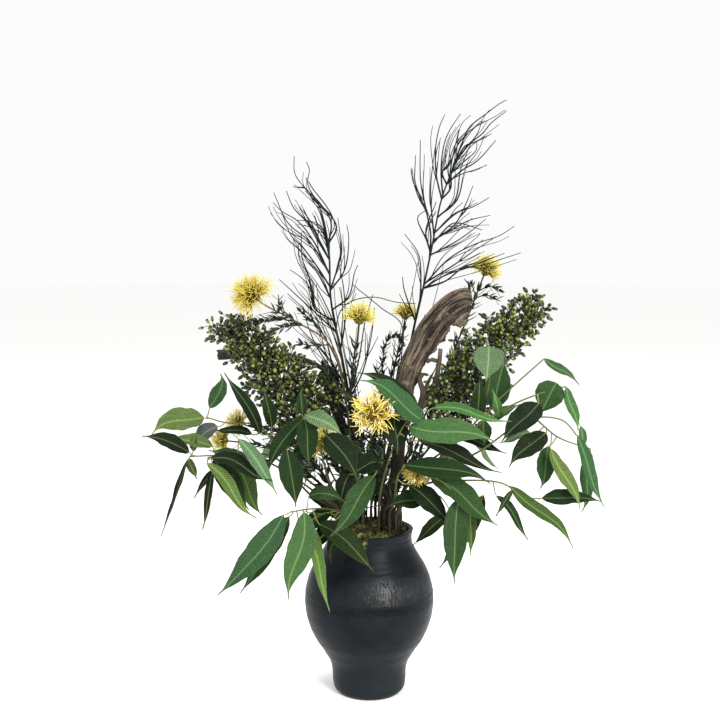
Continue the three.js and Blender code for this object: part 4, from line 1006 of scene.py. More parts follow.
def loose_twig(name, row, tree, finishes):
    """A single bare twig, a little crooked."""
    growth = Growth()
    line = planted(row["hole"], row["path"], 5)
    draw = random.Random(len(name))  # the twigs' names differ in length
    wavy = [p + Vector((draw.uniform(-0.35, 0.35), draw.uniform(-0.35, 0.35), 0)) for p in line[2:-1]]
    growth.line([*line[:2], *wavy, line[-1]], LONE_GIRTHS, TWIG_FOOT, TWIG_TIP)
    inputs = {"Sides": 7, "Finish": finishes[0], "Stem Finish": finishes[1]}
    made = baked(name + "_stem", growth.mesh(name), tree, inputs)
    seated(made, "twig", name)


TWIGS = {
    "twig_arching": {
        "hole": (-4, 30),
        "path": [
            (-20, 40, 380), (-40, 22, 500), (-50, 20, 580), (-36, 20, 607), (4, 24, 618), (41, 28, 610),
            (72, 34, 607),
        ],
    },
    "twig_straight": {
        "hole": (4, 20),
        "path": [(34, 28, 400), (50, 32, 520), (50, 32, 575), (17, 28, 602), (-27, 24, 638)],
    },
}


# Each spray of wands: where it stands, its stem's path, how far its wands spread backwards and forwards, how many
# shoots each has, how many thin shafts stand round the stem, and the wands as lists of (x, z).
WANDS = {
    "wands_left": {
        "hole": (-14, 24),
        "path": [
            (-24, 36, 360), (-32, 42, 456), (-49, 44, 550), (-60, 45, 612), (-64, 45, 699), (-80, 45, 762),
            (-100, 45, 786),
        ],
        "spread": 26,
        "shoots": 3,
        "shafts": 11,
        "wands": [
            [(-64, 699), (-59, 726), (-61, 738), (-78, 764), (-99, 785), (-115, 807), (-116, 834)],
            [(-64, 699), (-51, 724), (-59, 742), (-82, 767), (-96, 793), (-93, 814), (-98, 826)],
            [(-99, 785), (-119, 788)],
            [(-65, 681), (-70, 722), (-78, 750), (-91, 771)],
            [(-66, 678), (-73, 718), (-92, 734), (-112, 736)],
            [(-65, 675), (-86, 715), (-108, 756)],
            [(-67, 681), (-90, 726), (-116, 754), (-127, 780)],
            [(-65, 650), (-86, 702), (-112, 735), (-137, 750), (-151, 764)],
            [(-67, 653), (-92, 702), (-126, 732), (-147, 778)],
            [(-61, 633), (-83, 667), (-104, 695), (-120, 711), (-135, 748)],
            [(-61, 612), (-81, 655), (-100, 679), (-118, 707)],
            [(-57, 626), (-49, 664), (-43, 687), (-49, 740)],
            [(-57, 626), (-39, 658), (-32, 707), (-35, 729)],
            [(-51, 596), (-32, 618), (-23, 655), (-18, 667)],
            [(-61, 576), (-87, 600), (-92, 628), (-105, 645), (-125, 659)],
            [(-71, 560), (-93, 600), (-141, 644)],
            [(-75, 608), (-94, 647), (-105, 678), (-106, 718)],
            [(-38, 480), (-62, 540), (-95, 590), (-128, 622)],
            [(-36, 470), (-70, 530), (-104, 565), (-122, 590)],
            [(-40, 500), (-50, 560), (-70, 610), (-92, 650)],
            [(-34, 456), (-58, 500), (-84, 540), (-98, 575), (-104, 600)],
            [(-45, 530), (-38, 580), (-40, 630), (-48, 672)],
            [(-32, 456), (-16, 520), (-6, 580), (6, 620)],
            [(-32, 456), (-10, 500), (4, 560), (8, 600)],
        ],
    },
    "wands_right": {
        "hole": (10, 36),
        "path": [
            (30, 55, 360), (56, 64, 483), (70, 68, 560), (84, 70, 622), (98, 70, 689), (113, 70, 767),
            (132, 70, 820),
        ],
        "spread": 24,
        "shoots": 3,
        "shafts": 8,
        "wands": [
            [(132, 820), (145, 857), (156, 880), (180, 899), (200, 914), (211, 920)],
            [(134, 827), (157, 855), (176, 870), (187, 884), (211, 903)],
            [(130, 815), (149, 851), (160, 855), (188, 868)],
            [(128, 811), (149, 828), (167, 845), (168, 857)],
            [(120, 790), (144, 813), (167, 827), (196, 859)],
            [(118, 792), (114, 811), (124, 820), (141, 857), (176, 891)],
            [(113, 767), (105, 807), (104, 850), (110, 882), (118, 900)],
            [(114, 776), (112, 815), (116, 853), (124, 874), (140, 898)],
            [(116, 768), (128, 786), (128, 815), (141, 878)],
            [(115, 741), (134, 767), (142, 815), (157, 855)],
            [(103, 712), (97, 784), (104, 850)],
            [(107, 718), (138, 748), (162, 757), (186, 771)],
            [(105, 705), (135, 724), (158, 736), (192, 744)],
            [(112, 705), (135, 730), (152, 763), (162, 790)],
            [(101, 699), (129, 730), (140, 732), (179, 721)],
            [(98, 679), (135, 702), (158, 718), (182, 738)],
            [(92, 634), (127, 677), (166, 699), (203, 712), (226, 727)],
            [(93, 636), (139, 669), (162, 685), (201, 710)],
            [(89, 626), (120, 640), (149, 661), (178, 665), (210, 675), (241, 685)],
            [(89, 626), (120, 650), (151, 661), (211, 685)],
            [(79, 603), (82, 640), (78, 683), (56, 715)],
            [(80, 679), (97, 715), (91, 746), (81, 796), (80, 861)],
            [(91, 746), (72, 797), (72, 817), (73, 838)],
            [(80, 690), (89, 718), (105, 765)],
            [(78, 699), (76, 741), (88, 751)],
            [(63, 579), (55, 628), (52, 648)],
        ],
    },
}


# ---------- Driftwood and bark ----------
SLAB_STEP = 1.8
SLAB_COLUMNS = 48


def shell(rings, name, values=None):
    """A closed mesh over rings of points in millimetres that run the same way round, capped at both ends."""
    count = len(rings[0])
    points = [Vector(p) * MM for ring in rings for p in ring]
    faces = []
    for i in range(len(rings) - 1):
        for j in range(count):
            k = (j + 1) % count
            faces.append((i * count + j, i * count + k, (i + 1) * count + k, (i + 1) * count + j))
    last = (len(rings) - 1) * count
    for start, step in ((0, -1), (last, 1)):
        middle = sum((points[start + j] for j in range(count)), Vector()) / count
        points.append(middle)
        for j in range(count)[::step]:
            faces.append((len(points) - 1, start + j, start + (j + step) % count))
    made = bpy.data.meshes.new(name)
    made.from_pydata(points, [], faces)
    grain = [c for ring in (values or []) for value in ring for c in value]
    grain += [0.0] * (3 * len(points) - len(grain))
    made.attributes.new("grain", "FLOAT_VECTOR", "POINT").data.foreach_set("vector", grain)
    return made


def knotty(points, radii, sides, seed, name, ridges=0.16, broken=0.0):
    """A weathered branch: ridged lengthwise, uneven, and with a ragged end where broken is above 0."""
    line = smooth_path(points, 2.2)
    rings, grain, reach = [], [], 0.0
    up = square_to(way_at(line, 0), (0.2, -1, 0.3))
    for i, at in enumerate(line):
        way = way_at(line, i)
        up = square_to(way, up)
        side, share = up.cross(way), i / (len(line) - 1)
        reach += (at - line[i - 1]).length if i else 0
        radius = mix(radii[0], radii[1], share) * (1 + 0.14 * noise.noise(Vector((share * 7, seed, 0))))
        ring, row = [], []
        for j in range(sides):
            a = -2 * math.pi * j / sides
            around = Vector((math.cos(a), math.sin(a), 0))
            rough = noise.noise(Vector((around.x * 2.6, around.y * 2.6, reach * 0.02 + seed)))
            fine = noise.noise(Vector((around.x * 6, around.y * 6, reach * 0.05 + seed * 2)))
            size = radius * (1 + ridges * (1.3 * rough + 0.8 * fine))
            ragged = broken * max(0, share - 0.9) * 10 * noise.noise(Vector((around.x * 3, around.y * 3, seed)))
            ring.append(at + (up * around.x + side * around.y) * size + way * ragged)
            row.append((j * radius * FULL_TURN / sides, reach, fine))
        rings.append(ring)
        grain.append(row)
    if broken:
        # The broken end is hollowed out.
        end, sunk = line[-1], way_at(line, len(line) - 1) * broken * 0.4
        rings.append([end + (p - end) * 0.55 - sunk for p in rings[-1]])
        grain.append(grain[-1])
    return shell(rings, name, grain)


def slab(rows, depth, thickness, seed, name, ragged=0.0):
    """A slab of weathered wood between a left and a right edge, bulging forwards, ridged along its length."""
    lefts = smooth_path([(left[0], 0, left[1]) for left, _, _ in rows], SLAB_STEP)
    rights = smooth_path([(right[0], 0, right[1]) for _, right, _ in rows], SLAB_STEP)
    lift = (rows[-1][0][0] - rows[-2][0][0], rows[-1][0][1] - rows[-2][0][1])
    size = math.hypot(*lift)
    count = max(len(lefts), len(rights))
    rings, grain = [], []
    for i in range(count):
        share = i / (count - 1)
        left = lefts[round(share * (len(lefts) - 1))]
        right = rights[round(share * (len(rights) - 1))]
        spot = share * (len(rows) - 1)
        k = min(int(spot), len(rows) - 2)
        bulge = mix(rows[k][2], rows[k + 1][2], spot - k)
        coarse, fine = (noise.noise(Vector((share * often, seed, 5))) for often in (19, 61))
        right = right + (right - left).normalized() * (ragged * share * (coarse + 0.5 * fine))
        width, reach = (right - left).length, share * count * SLAB_STEP
        front, back = [], []
        for j in range(SLAB_COLUMNS + 1):
            u = j / SLAB_COLUMNS
            at = left.lerp(right, u)
            flow = Vector((u * width * 0.16, share * count * 0.014, seed))
            rib = 2.0 * noise.noise(flow) + 2.2 * noise.noise(flow * 3.1) + 1.5 * noise.noise(flow * 6.7)
            rim = min(1, 8 * u * (1 - u))
            y = depth - bulge * math.sin(math.pi * u) - rib * rim
            # The last seventh is torn off unevenly.
            end = ragged * max(0, share - 0.86) * 7 * noise.noise(Vector((u * 5, seed, 1)))
            shift = Vector((lift[0] / size * end, 0, lift[1] / size * end))
            hollow = thickness - 0.35 * bulge * math.sin(math.pi * u) * 0.5
            behind = y + max(3.0, hollow) * rim + 0.6
            front.append((Vector((at.x, y, at.z)) + shift, (u * width, reach, rib)))
            back.append((Vector((at.x, behind, at.z)) + shift, (u * width, reach, -1.0)))
        ring = front + back[::-1]
        rings.append([p for p, _ in ring])
        grain.append([v for _, v in ring])
    return shell(rings, name, grain)


def joined(name, meshes, finish):
    """Several meshes as one with one finish."""
    points, faces, grain = [], [], []
    for mesh in meshes:
        start = len(points)
        points += [v.co.copy() for v in mesh.vertices]
        faces += [tuple(start + i for i in face.vertices) for face in mesh.polygons]
        grain += [c for value in mesh.attributes["grain"].data for c in value.vector]
        bpy.data.meshes.remove(mesh)
    made = bpy.data.meshes.new(name)
    made.from_pydata(points, [], faces)
    made.attributes.new("grain", "FLOAT_VECTOR", "POINT").data.foreach_set("vector", grain)
    made.shade_smooth()
    made.materials.append(finish)
    return made


# The trunk, the prongs, the bark's stem and its arm are lines of (x, y, z). The driftwood's top and the sheet of
# bark are rows of a left edge and a right edge, both (x, z), and how far the slab bulges between them.
DRIFTWOOD_TOP = [
    ((37, 446), (64, 440), 4), ((39, 478), (68, 470), 7), ((47, 518), (81, 506), 9), ((62, 551), (92, 526), 12),
    ((74, 575), (106, 543), 14), ((88, 594), (120, 562), 15), ((104, 612), (129, 575), 17),
    ((124, 627), (140, 573), 18), ((146, 633), (149, 578), 16), ((154, 630), (156, 612), 9),
]
TRUNK = [(28, 6, STEM_FOOT), (28, 6, 290), (34, 2, 310), (42, 0, 350), (50, 0, 430), (54, 2, 480), (60, 4, 515)]
PRONG = [(52, 0, 415), (67, -3, 439), (84, -4, 455), (98, -2, 478), (105, 0, 504), (109, 0, 540)]
PRONG_STUB = [(104, 0, 521), (95, 1, 523), (88, 2, 519)]
SECOND_PRONG = [(78, -4, 448), (82, -5, 475), (77, -6, 494), (82, -7, 502)]
BARK_STEM = [(-26, 36, STEM_FOOT), (-26, 36, 290), (-30, 52, 330), (-38, 62, 380), (-46, 66, 415), (-52, 66, 440)]
BARK_SHEET = [
    ((-50, 396), (-34, 392), 4), ((-60, 430), (-40, 423), 7), ((-68, 452), (-44, 444), 8),
    ((-74, 478), (-46, 468), 9), ((-77, 513), (-50, 497), 9),
]
BARK_ARM = [(-62, 64, 494), (-97, 66, 513), (-141, 70, 521), (-190, 66, 526), (-240, 60, 524)]


# ---------- Moss ----------
MOSS_TOP = 263
MOSS_BOTTOM = 239
MOSS_UNDERSIDE = 242  # moss blades grow above this height
MOSS_RADIUS = 57
MOSS_TUFT = [(-8, -44, 258), (-10, -58, 266), (-12, -70, 264), (-13, -77, 254), (-13, -78, 243)]
TUFT_RADII = (6, 7, 8, 6.5, 7, 5, 2.5)


def moss_height(x, y):
    """The moss is domed and bumpy, with a clump at the left front."""
    bumps = 3.2 * math.sin(x * 0.21 + 1) * math.cos(y * 0.19) + 2.2 * math.sin(x * 0.43 + y * 0.37)
    clump = 13 * math.exp(-((x + 38) ** 2 + (y + 26) ** 2) / 350)
    return MOSS_TOP - 0.0016 * (x * x + y * y) + clump + bumps + 1.2 * noise.noise(Vector((x * 0.2, y * 0.2, 0)))


def moss_cushion():
    """The moss in the mouth: its underside, its edge and its top, in rings from the edge to the middle."""
    rings, sides = [], 72
    inner = [(radius, 0) for radius in range(53, 0, -3)]
    for radius, drop in ((0.5, None), (MOSS_RADIUS - 1, None), (MOSS_RADIUS, 5), *inner):
        ring = []
        for j in range(sides):
            x, y = radius * math.cos(2 * math.pi * j / sides), radius * math.sin(2 * math.pi * j / sides)
            ring.append((x, y, MOSS_BOTTOM if drop is None else moss_height(x, y) - drop))
        rings.append(ring)
    return shell(rings, "cushion")


def moss_tuft():
    """The tuft that hangs over the lip."""
    line = smooth_path(MOSS_TUFT, 2)
    rings, up = [], Vector((1, 0, 0))
    for i, at in enumerate(line):
        way = way_at(line, i)
        up = square_to(way, up)
        spot = i / (len(line) - 1) * (len(TUFT_RADII) - 1)
        k = min(int(spot), len(TUFT_RADII) - 2)
        radius = mix(TUFT_RADII[k], TUFT_RADII[k + 1], spot - k)
        ring = []
        for j in range(20):
            a = 2 * math.pi * j / 20
            arm = up * math.cos(a) + up.cross(way) * -math.sin(a)
            ring.append(at + arm * radius * (1 + 0.2 * noise.noise(arm * 1.7 + at * 0.08)))
        rings.append(ring)
    return shell(rings, "tuft")


def moss_tree():
    """Covers the moss with short curled blades that lie this way and that."""
    inputs = {
        "Blades": ("Float", 160000.0), "Length": ("Float", 0.006), "Seed": ("Int", 5), "Finish": ("Material", None)
    }
    tree, given, out = tree_with("moss_blades", inputs)
    ins = {"Mesh": given["Geometry"], "Density": given["Blades"], "Seed": given["Seed"]}
    spread = node(tree, "GeometryNodeDistributePointsOnFaces", ins)
    # None grow on the underside.
    place = node(tree, "GeometryNodeInputPosition")
    height = node(tree, "ShaderNodeSeparateXYZ", {"Vector": place}).outputs["Z"]
    ins = {"A": height, "B": MOSS_UNDERSIDE * MM}
    is_under = node(tree, "FunctionNodeCompare", ins, data_type="FLOAT", operation="LESS_THAN")
    kept = node(tree, "GeometryNodeDeleteGeometry", {"Geometry": spread, "Selection": is_under})
    ends = {"Start": (0.0, 0.0, -0.1), "Middle": (0.12, 0.0, 0.7), "End": (0.6, 0.0, 1.0), "Resolution": 4}
    blade = node(tree, "GeometryNodeCurveQuadraticBezier", ends)
    part = node(tree, "GeometryNodeSplineParameter")
    slim = node(tree, "ShaderNodeMapRange", {"Value": part, "To Min": 0.11, "To Max": 0.02})
    spins = ((-1.1, -1.1, 0.0), (1.1, 1.1, FULL_TURN))
    placed = strewn(tree, given, tubes(tree, blade, 3, slim), kept, spread.outputs["Rotation"], spins, shortest=0.4)
    both = node(tree, "GeometryNodeJoinGeometry", {"Geometry": given["Geometry"]})
    plug(both, {"Geometry": placed})
    real = node(tree, "GeometryNodeRealizeInstances", {"Geometry": both})
    ins = {"Geometry": real, "Material": given["Finish"]}
    plug(out, {"Geometry": node(tree, "GeometryNodeSetMaterial", ins)})
    return tree


# ---------- Vase ----------
# The outside as radius and height, from the edge of the foot to the lip.
OUTLINE = [
    (50, 0), (55, 6), (57, 17), (57.8, 31.5), (59.2, 42.5), (62.5, 51.5), (72.5, 68.5), (86.5, 90.5), (96.5, 116.5),
    (100.5, 141.5), (99, 166.5), (92, 190.5), (81, 211.5), (71.5, 227.5), (67, 238.5), (66.8, 250), (68.5, 260),
]
UNDERSIDE = [(0.5, 0.0), (25.0, 0.0), (46.0, 0.0), (49.0, 0.0)]
LIP = [(68.4, 259.3), (67.6, 260), (65, 260.0), (62.6, 260.0), (61.7, 259.3)]
# The inside, from below the lip to the middle of its floor.
INSIDE = [
    (59.8, 250), (60, 238.5), (74, 211.5), (92, 166.5), (89.5, 116.5), (65.5, 68.5), (52.2, 42.5), (44, 10),
    (0.5, 10),
]
SHOULDER = 207  # the height of the shallow step round the shoulder


def throwing(height):
    """How far the wall stands out at a height: faint rings, a shallow step at the shoulder, a groove below the
    lip and a band round the belly."""
    rings = 0.07 * math.sin(height * 0.83) + 0.1 * math.sin(height * 0.31 + 1) + 0.05 * math.sin(height * 2.1)
    step = 0.45 / (1 + math.exp(-(SHOULDER - height) / 0.8)) - 0.22
    groove = -0.5 * math.exp(-(((height - 248) / 2.2) ** 2))
    band = 0.35 * math.exp(-(((height - 161) / 1.6) ** 2))
    return rings + step + groove + band


def vase_mesh(sides):
    """The vase, from the middle of its foot up the outside, over the lip and down the inside."""
    outside = smooth_path([(r, 0, z) for r, z in OUTLINE], 1.9)
    profile = list(UNDERSIDE)
    profile += [(p.x + throwing(p.z) * min(1, p.z / 12), p.z) for p in outside[:-1]]
    profile += LIP
    profile += [(p.x, p.z) for p in smooth_path([(r, 0, z) for r, z in INSIDE], 6)]
    rings = []
    for radius, height in profile:
        ring = []
        for j in range(sides):
            a = 2 * math.pi * j / sides
            uneven = 0.35 * noise.noise(Vector((math.cos(a) * 1.2, math.sin(a) * 1.2, height * 0.02)))
            r = radius * (1 + uneven * 0.006) if radius > 1 else radius
            ring.append((r * math.cos(a), r * math.sin(a), height))
        rings.append(ring)
    return shell(rings, "vase")


# ---------- Finishes ----------
FADING = {"To Min": 1.0, "To Max": 0.0}


def new_finish(name):
    """A material with its shader, and where its patterns are read: metres in the piece's own space."""
    made = bpy.data.materials.new(name)
    made.use_nodes = True
    tree = made.node_tree
    tree.nodes.clear()
    shader = node(tree, "ShaderNodeBsdfPrincipled")
    node(tree, "ShaderNodeOutputMaterial", {"Surface": shader})
    return made, tree, shader, node(tree, "ShaderNodeTexCoord").outputs["Object"]


def ramped(ramp, *stops):
    """Gives a ramp its stops, each a place and a colour, from the lowest to the highest."""
    points, (first, *between, last) = ramp.color_ramp.elements, stops
    points[0].position, points[0].color = first
    points[1].position, points[1].color = last
    for spot, colour in between:
        points.new(spot).color = colour


def close_to(tree, value, centre, full, none):
    """1 where a value lies no further than full from the centre, 0 where it lies further than none."""
    off = node(tree, "ShaderNodeMath", {0: value, 1: centre}, operation="SUBTRACT")
    away = node(tree, "ShaderNodeMath", {0: off}, operation="ABSOLUTE")
    return node(tree, "ShaderNodeMapRange", {"Value": away, "From Min": full, "From Max": none, **FADING})


def eucalyptus_leaf():
    """A eucalyptus leaf has a waxy cuticle over green: a satin sheen, a pale midrib and thin margin, fine side
    veins that leave the midrib at about fifty degrees, and a duller, paler lower side."""
    made, tree, shader, place = new_finish("eucalyptus_leaf")
    blade = node(tree, "ShaderNodeAttribute", attribute_name="blade").outputs["Vector"]
    parts = node(tree, "ShaderNodeSeparateXYZ", {"Vector": blade}).outputs
    off = node(tree, "ShaderNodeMath", {0: parts["X"]}, operation="ABSOLUTE")
    to_edge = node(tree, "ShaderNodeMath", {0: parts["Z"], 1: off}, operation="SUBTRACT")
    # The midrib fades where the leaf is drawn out to its tip.
    ends = {"From Min": 0.8, "From Max": 2.6, "To Max": 0.85}
    breadth = node(tree, "ShaderNodeMapRange", {"Value": parts["Z"], **ends})
    rib = node(tree, "ShaderNodeMapRange", {"Value": off, "From Min": 0.2, "From Max": 0.65, **FADING})
    midrib = node(tree, "ShaderNodeMath", {0: rib, 1: breadth}, operation="MULTIPLY")
    edge = node(tree, "ShaderNodeMapRange", {"Value": to_edge, "From Min": 0.1, "From Max": 0.65, **FADING})
    margin = node(tree, "ShaderNodeMath", {0: edge, 1: 0.4}, operation="MULTIPLY")
    blotches = node(tree, "ShaderNodeTexNoise", {"Vector": place, "Scale": 70.0, "Detail": 4.0})
    fine = node(tree, "ShaderNodeTexNoise", {"Vector": place, "Scale": 650.0, "Detail": 3.0})
    # Side veins every 3.4 mm: the distance along the leaf less what it has fallen back on the way out.
    slant = node(tree, "ShaderNodeMath", {0: off, 1: -0.85, 2: parts["Y"]}, operation="MULTIPLY_ADD")
    wander = node(tree, "ShaderNodeMath", {0: blotches, 1: 2.0, 2: slant}, operation="MULTIPLY_ADD")
    spaced = node(tree, "ShaderNodeMath", {0: wander, 1: 3.4}, operation="DIVIDE")
    folded = node(tree, "ShaderNodeMath", {0: spaced, 1: 0.5}, operation="PINGPONG")
    crests = node(tree, "ShaderNodeMapRange", {"Value": folded, "From Min": 0.26, "From Max": 0.44, "To Max": 1.25})
    veins = node(tree, "ShaderNodeMath", {0: crests, 1: fine}, operation="MULTIPLY")
    # Between them the blade is streaked along the veins, 1.3 mm across and 4 mm long.
    flow = node(tree, "ShaderNodeCombineXYZ", {"X": wander, "Y": parts["X"], "Z": parts["Z"]})
    drawn = node(tree, "ShaderNodeMapping", {"Vector": flow, "Scale": (0.75, 0.24, 0.4)})
    cells = node(tree, "ShaderNodeTexNoise", {"Vector": drawn, "Scale": 1.0, "Detail": 5.0, "Roughness": 0.7})
    light = node(tree, "ShaderNodeMapRange", {"Value": cells, "From Min": 0.5, "From Max": 0.66, "To Max": 0.32})
    tint = node(tree, "ShaderNodeAttribute", attribute_name="tint")
    under = node(tree, "ShaderNodeAttribute", attribute_name="under").outputs["Fac"]
    # It is darker between the streaks, and in the drawn-out tip.
    ends = {"From Min": 0.34, "From Max": 0.64, "To Min": 0.5, "To Max": 1.25}
    shade = node(tree, "ShaderNodeMapRange", {"Value": cells, **ends})
    ends = {"From Min": 0.8, "From Max": 3.5, "To Min": 0.4, "To Max": 1.0}
    tail = node(tree, "ShaderNodeMapRange", {"Value": parts["Z"], **ends})
    depth = node(tree, "ShaderNodeMath", {0: shade, 1: tail}, operation="MULTIPLY")
    mottled = node(tree, "ShaderNodeMix", {0: 1.0, 6: tint, 7: depth}, data_type="RGBA", blend_type="MULTIPLY")
    ins = {0: 1.0, 6: tint, 7: (2.3, 2.2, 2.0, 1.0)}
    lit = node(tree, "ShaderNodeMix", ins, data_type="RGBA", blend_type="MULTIPLY")
    bright = node(tree, "ShaderNodeMix", {0: 0.015, 6: lit, 7: linear("#bccb98")}, data_type="RGBA")
    pale = node(tree, "ShaderNodeMix", {0: 0.17, 6: bright, 7: linear("#b4bf80")}, data_type="RGBA")
    streaked = node(tree, "ShaderNodeMix", {0: light, 6: mottled, 7: bright}, data_type="RGBA")
    veined = node(tree, "ShaderNodeMix", {0: veins, 6: streaked, 7: bright}, data_type="RGBA")
    # The blade is lighter for 2 to 3 mm beside its midrib.
    ends = {"From Min": 0.3, "From Max": 3.0, "To Min": 0.5, "To Max": 0.0}
    beside = node(tree, "ShaderNodeMapRange", {"Value": off, **ends})
    banded = node(tree, "ShaderNodeMix", {0: beside, 6: veined, 7: bright}, data_type="RGBA")
    edged = node(tree, "ShaderNodeMix", {0: margin, 6: banded, 7: pale}, data_type="RGBA")
    ribbed = node(tree, "ShaderNodeMix", {0: midrib, 6: edged, 7: pale}, data_type="RGBA")
    specks = node(tree, "ShaderNodeTexNoise", {"Vector": place, "Scale": 210.0, "Detail": 2.0})
    flecks = node(tree, "ShaderNodeMapRange", {"Value": specks, "From Min": 0.7, "From Max": 0.76, "To Max": 0.6})
    flecked = node(tree, "ShaderNodeMix", {0: flecks, 6: ribbed, 7: linear("#5c4a2a")}, data_type="RGBA")
    dull = node(tree, "ShaderNodeMath", {0: under, 1: 0.4}, operation="MULTIPLY")
    both = node(tree, "ShaderNodeMix", {0: dull, 6: flecked, 7: linear("#7f9478")}, data_type="RGBA")
    rough = node(tree, "ShaderNodeMapRange", {"Value": blotches, "To Min": 0.38, "To Max": 0.56})
    satin = node(tree, "ShaderNodeMath", {0: under, 1: 0.18, 2: rough}, operation="MULTIPLY_ADD")
    # The side veins are sunk.
    sunk = node(tree, "ShaderNodeMath", {0: veins, 1: -0.7, 2: cells}, operation="MULTIPLY_ADD")
    relief = node(tree, "ShaderNodeBump", {"Height": sunk, "Strength": 0.6, "Distance": 0.0006})
    plug(shader, {"Base Color": both, "Roughness": satin, "Normal": relief})
    plug(shader, {"IOR": 1.45, "Specular IOR Level": 0.05})
    return made


def green_stem(name, roughness, streak):
    """A plant's stem: smooth thin bark with fine streaks along it, about 2 mm across and 10 mm long."""
    made, tree, shader, place = new_finish(name)
    tint = node(tree, "ShaderNodeAttribute", attribute_name="tint")
    flat = node(tree, "ShaderNodeMapping", {"Vector": place, "Scale": (1.0, 1.0, 0.25)})
    streaks = node(tree, "ShaderNodeTexNoise", {"Vector": flat, "Scale": 420.0, "Detail": 4.0})
    ends = {"From Min": 0.3, "From Max": 0.7, "To Min": 1 - streak, "To Max": 1 + streak}
    depth = node(tree, "ShaderNodeMapRange", {"Value": streaks, **ends})
    colour = node(tree, "ShaderNodeMix", {0: 1.0, 6: tint, 7: depth}, data_type="RGBA", blend_type="MULTIPLY")
    relief = node(tree, "ShaderNodeBump", {"Height": streaks, "Strength": 0.4, "Distance": 0.0003})
    plug(shader, {"Base Color": colour, "Roughness": roughness, "Specular IOR Level": 0.1, "Normal": relief})
    return made


def flower_thread(name, root, middle, end):
    """Dry papery threads, matt and pale at their ends, that darken towards the core."""
    made, tree, shader, place = new_finish(name)
    along = node(tree, "ShaderNodeAttribute", attribute_name="along").outputs["Fac"]
    patches = node(tree, "ShaderNodeTexNoise", {"Vector": place, "Scale": 160.0, "Detail": 3.0})
    moved = node(tree, "ShaderNodeMath", {0: patches, 1: 0.5, 2: along}, operation="MULTIPLY_ADD")
    ramp = node(tree, "ShaderNodeValToRGB", {"Fac": moved})
    # The dark root colour is partly painted shade: deep in the head the threads shade one another.
    ramped(ramp, (0.3, root), (0.68, middle), (1.0, end))
    plug(shader, {"Base Color": ramp, "Roughness": 0.75, "Specular IOR Level": 0.2})
    return made


def berry_skin():
    """Fresh green berries: a thin satin skin, yellow-green where it is ripe, dark round the dried bud scales at the
    other end, and dark at the stalk, partly the berry's own colour and partly painted shade under it."""
    made, tree, shader, place = new_finish("berry_skin")
    along = node(tree, "ShaderNodeAttribute", attribute_name="along").outputs["Fac"]
    tint = node(tree, "ShaderNodeAttribute", attribute_name="tint")
    spots = node(tree, "ShaderNodeTexNoise", {"Vector": place, "Scale": 380.0, "Detail": 3.0})
    uneven = node(tree, "ShaderNodeMath", {0: spots, 1: 0.3, 2: along}, operation="MULTIPLY_ADD")
    shade = node(tree, "ShaderNodeValToRGB", {"Fac": uneven})
    # The dark stops at the stalk end are partly painted shade.
    colours = ((0.3, "#14180e"), (0.62, "#ffffff"), (0.85, "#e0e0d2"), (0.95, "#2a2e1f"), (1.0, "#2f3424"))
    ramped(shade, *((spot, linear(colour)) for spot, colour in colours))
    colour = node(tree, "ShaderNodeMix", {0: 1.0, 6: tint, 7: shade}, data_type="RGBA", blend_type="MULTIPLY")
    relief = node(tree, "ShaderNodeBump", {"Height": spots, "Strength": 0.25, "Distance": 0.0003})
    plug(shader, {"Base Color": colour, "Roughness": 0.34, "Specular IOR Level": 0.3, "Normal": relief})
    plug(shader, {"Subsurface Weight": 0.05, "Subsurface Radius": (0.002, 0.002, 0.0008), "Subsurface Scale": 1.0})
    return made


def weathered_wood(name, dark, middle, light, fleck):
    """Wood that has lain in water and sun: dry and rough, with open grain along it, darker in its furrows and
    with tan flecks where its surface has broken away."""
    made, tree, shader, place = new_finish(name)
    grain = node(tree, "ShaderNodeAttribute", attribute_name="grain").outputs["Vector"]
    parts = node(tree, "ShaderNodeSeparateXYZ", {"Vector": grain}).outputs
    # Grain about 0.5 mm across the wood and 6 mm long.
    drawn = node(tree, "ShaderNodeMapping", {"Vector": grain, "Scale": (1.0, 0.08, 0.0)})
    lines = node(tree, "ShaderNodeTexNoise", {"Vector": drawn, "Scale": 2.2, "Detail": 8.0, "Roughness": 0.75})
    patches = node(tree, "ShaderNodeTexNoise", {"Vector": place, "Scale": 55.0, "Detail": 5.0})
    lifted = node(tree, "ShaderNodeMath", {0: parts["Z"], 1: 0.13, 2: lines}, operation="MULTIPLY_ADD")
    ramp = node(tree, "ShaderNodeValToRGB", {"Fac": lifted})
    ramped(ramp, (0.37, linear(dark)), (0.5, linear(middle)), (0.66, linear(light)))
    spots = node(tree, "ShaderNodeMapRange", {"Value": patches, "From Min": 0.6, "From Max": 0.7, "To Max": 0.75})
    flecked = node(tree, "ShaderNodeMix", {0: spots, 6: ramp, 7: linear(fleck)}, data_type="RGBA")
    # Below 500 mm the wood gets darker, down to 400 mm.
    height = node(tree, "ShaderNodeSeparateXYZ", {"Vector": place}).outputs["Z"]
    ends = {"From Min": 0.4, "From Max": 0.5, "To Min": 0.36, "To Max": 1.0}
    darker_low = node(tree, "ShaderNodeMapRange", {"Value": height, **ends})
    shaded = node(tree, "ShaderNodeMix", {0: 1.0, 6: flecked, 7: darker_low}, data_type="RGBA", blend_type="MULTIPLY")
    relief = node(tree, "ShaderNodeBump", {"Height": lines, "Strength": 0.9, "Distance": 0.0012})
    plug(shader, {"Base Color": shaded, "Roughness": 0.88, "Specular IOR Level": 0.15, "Normal": relief})
    return made


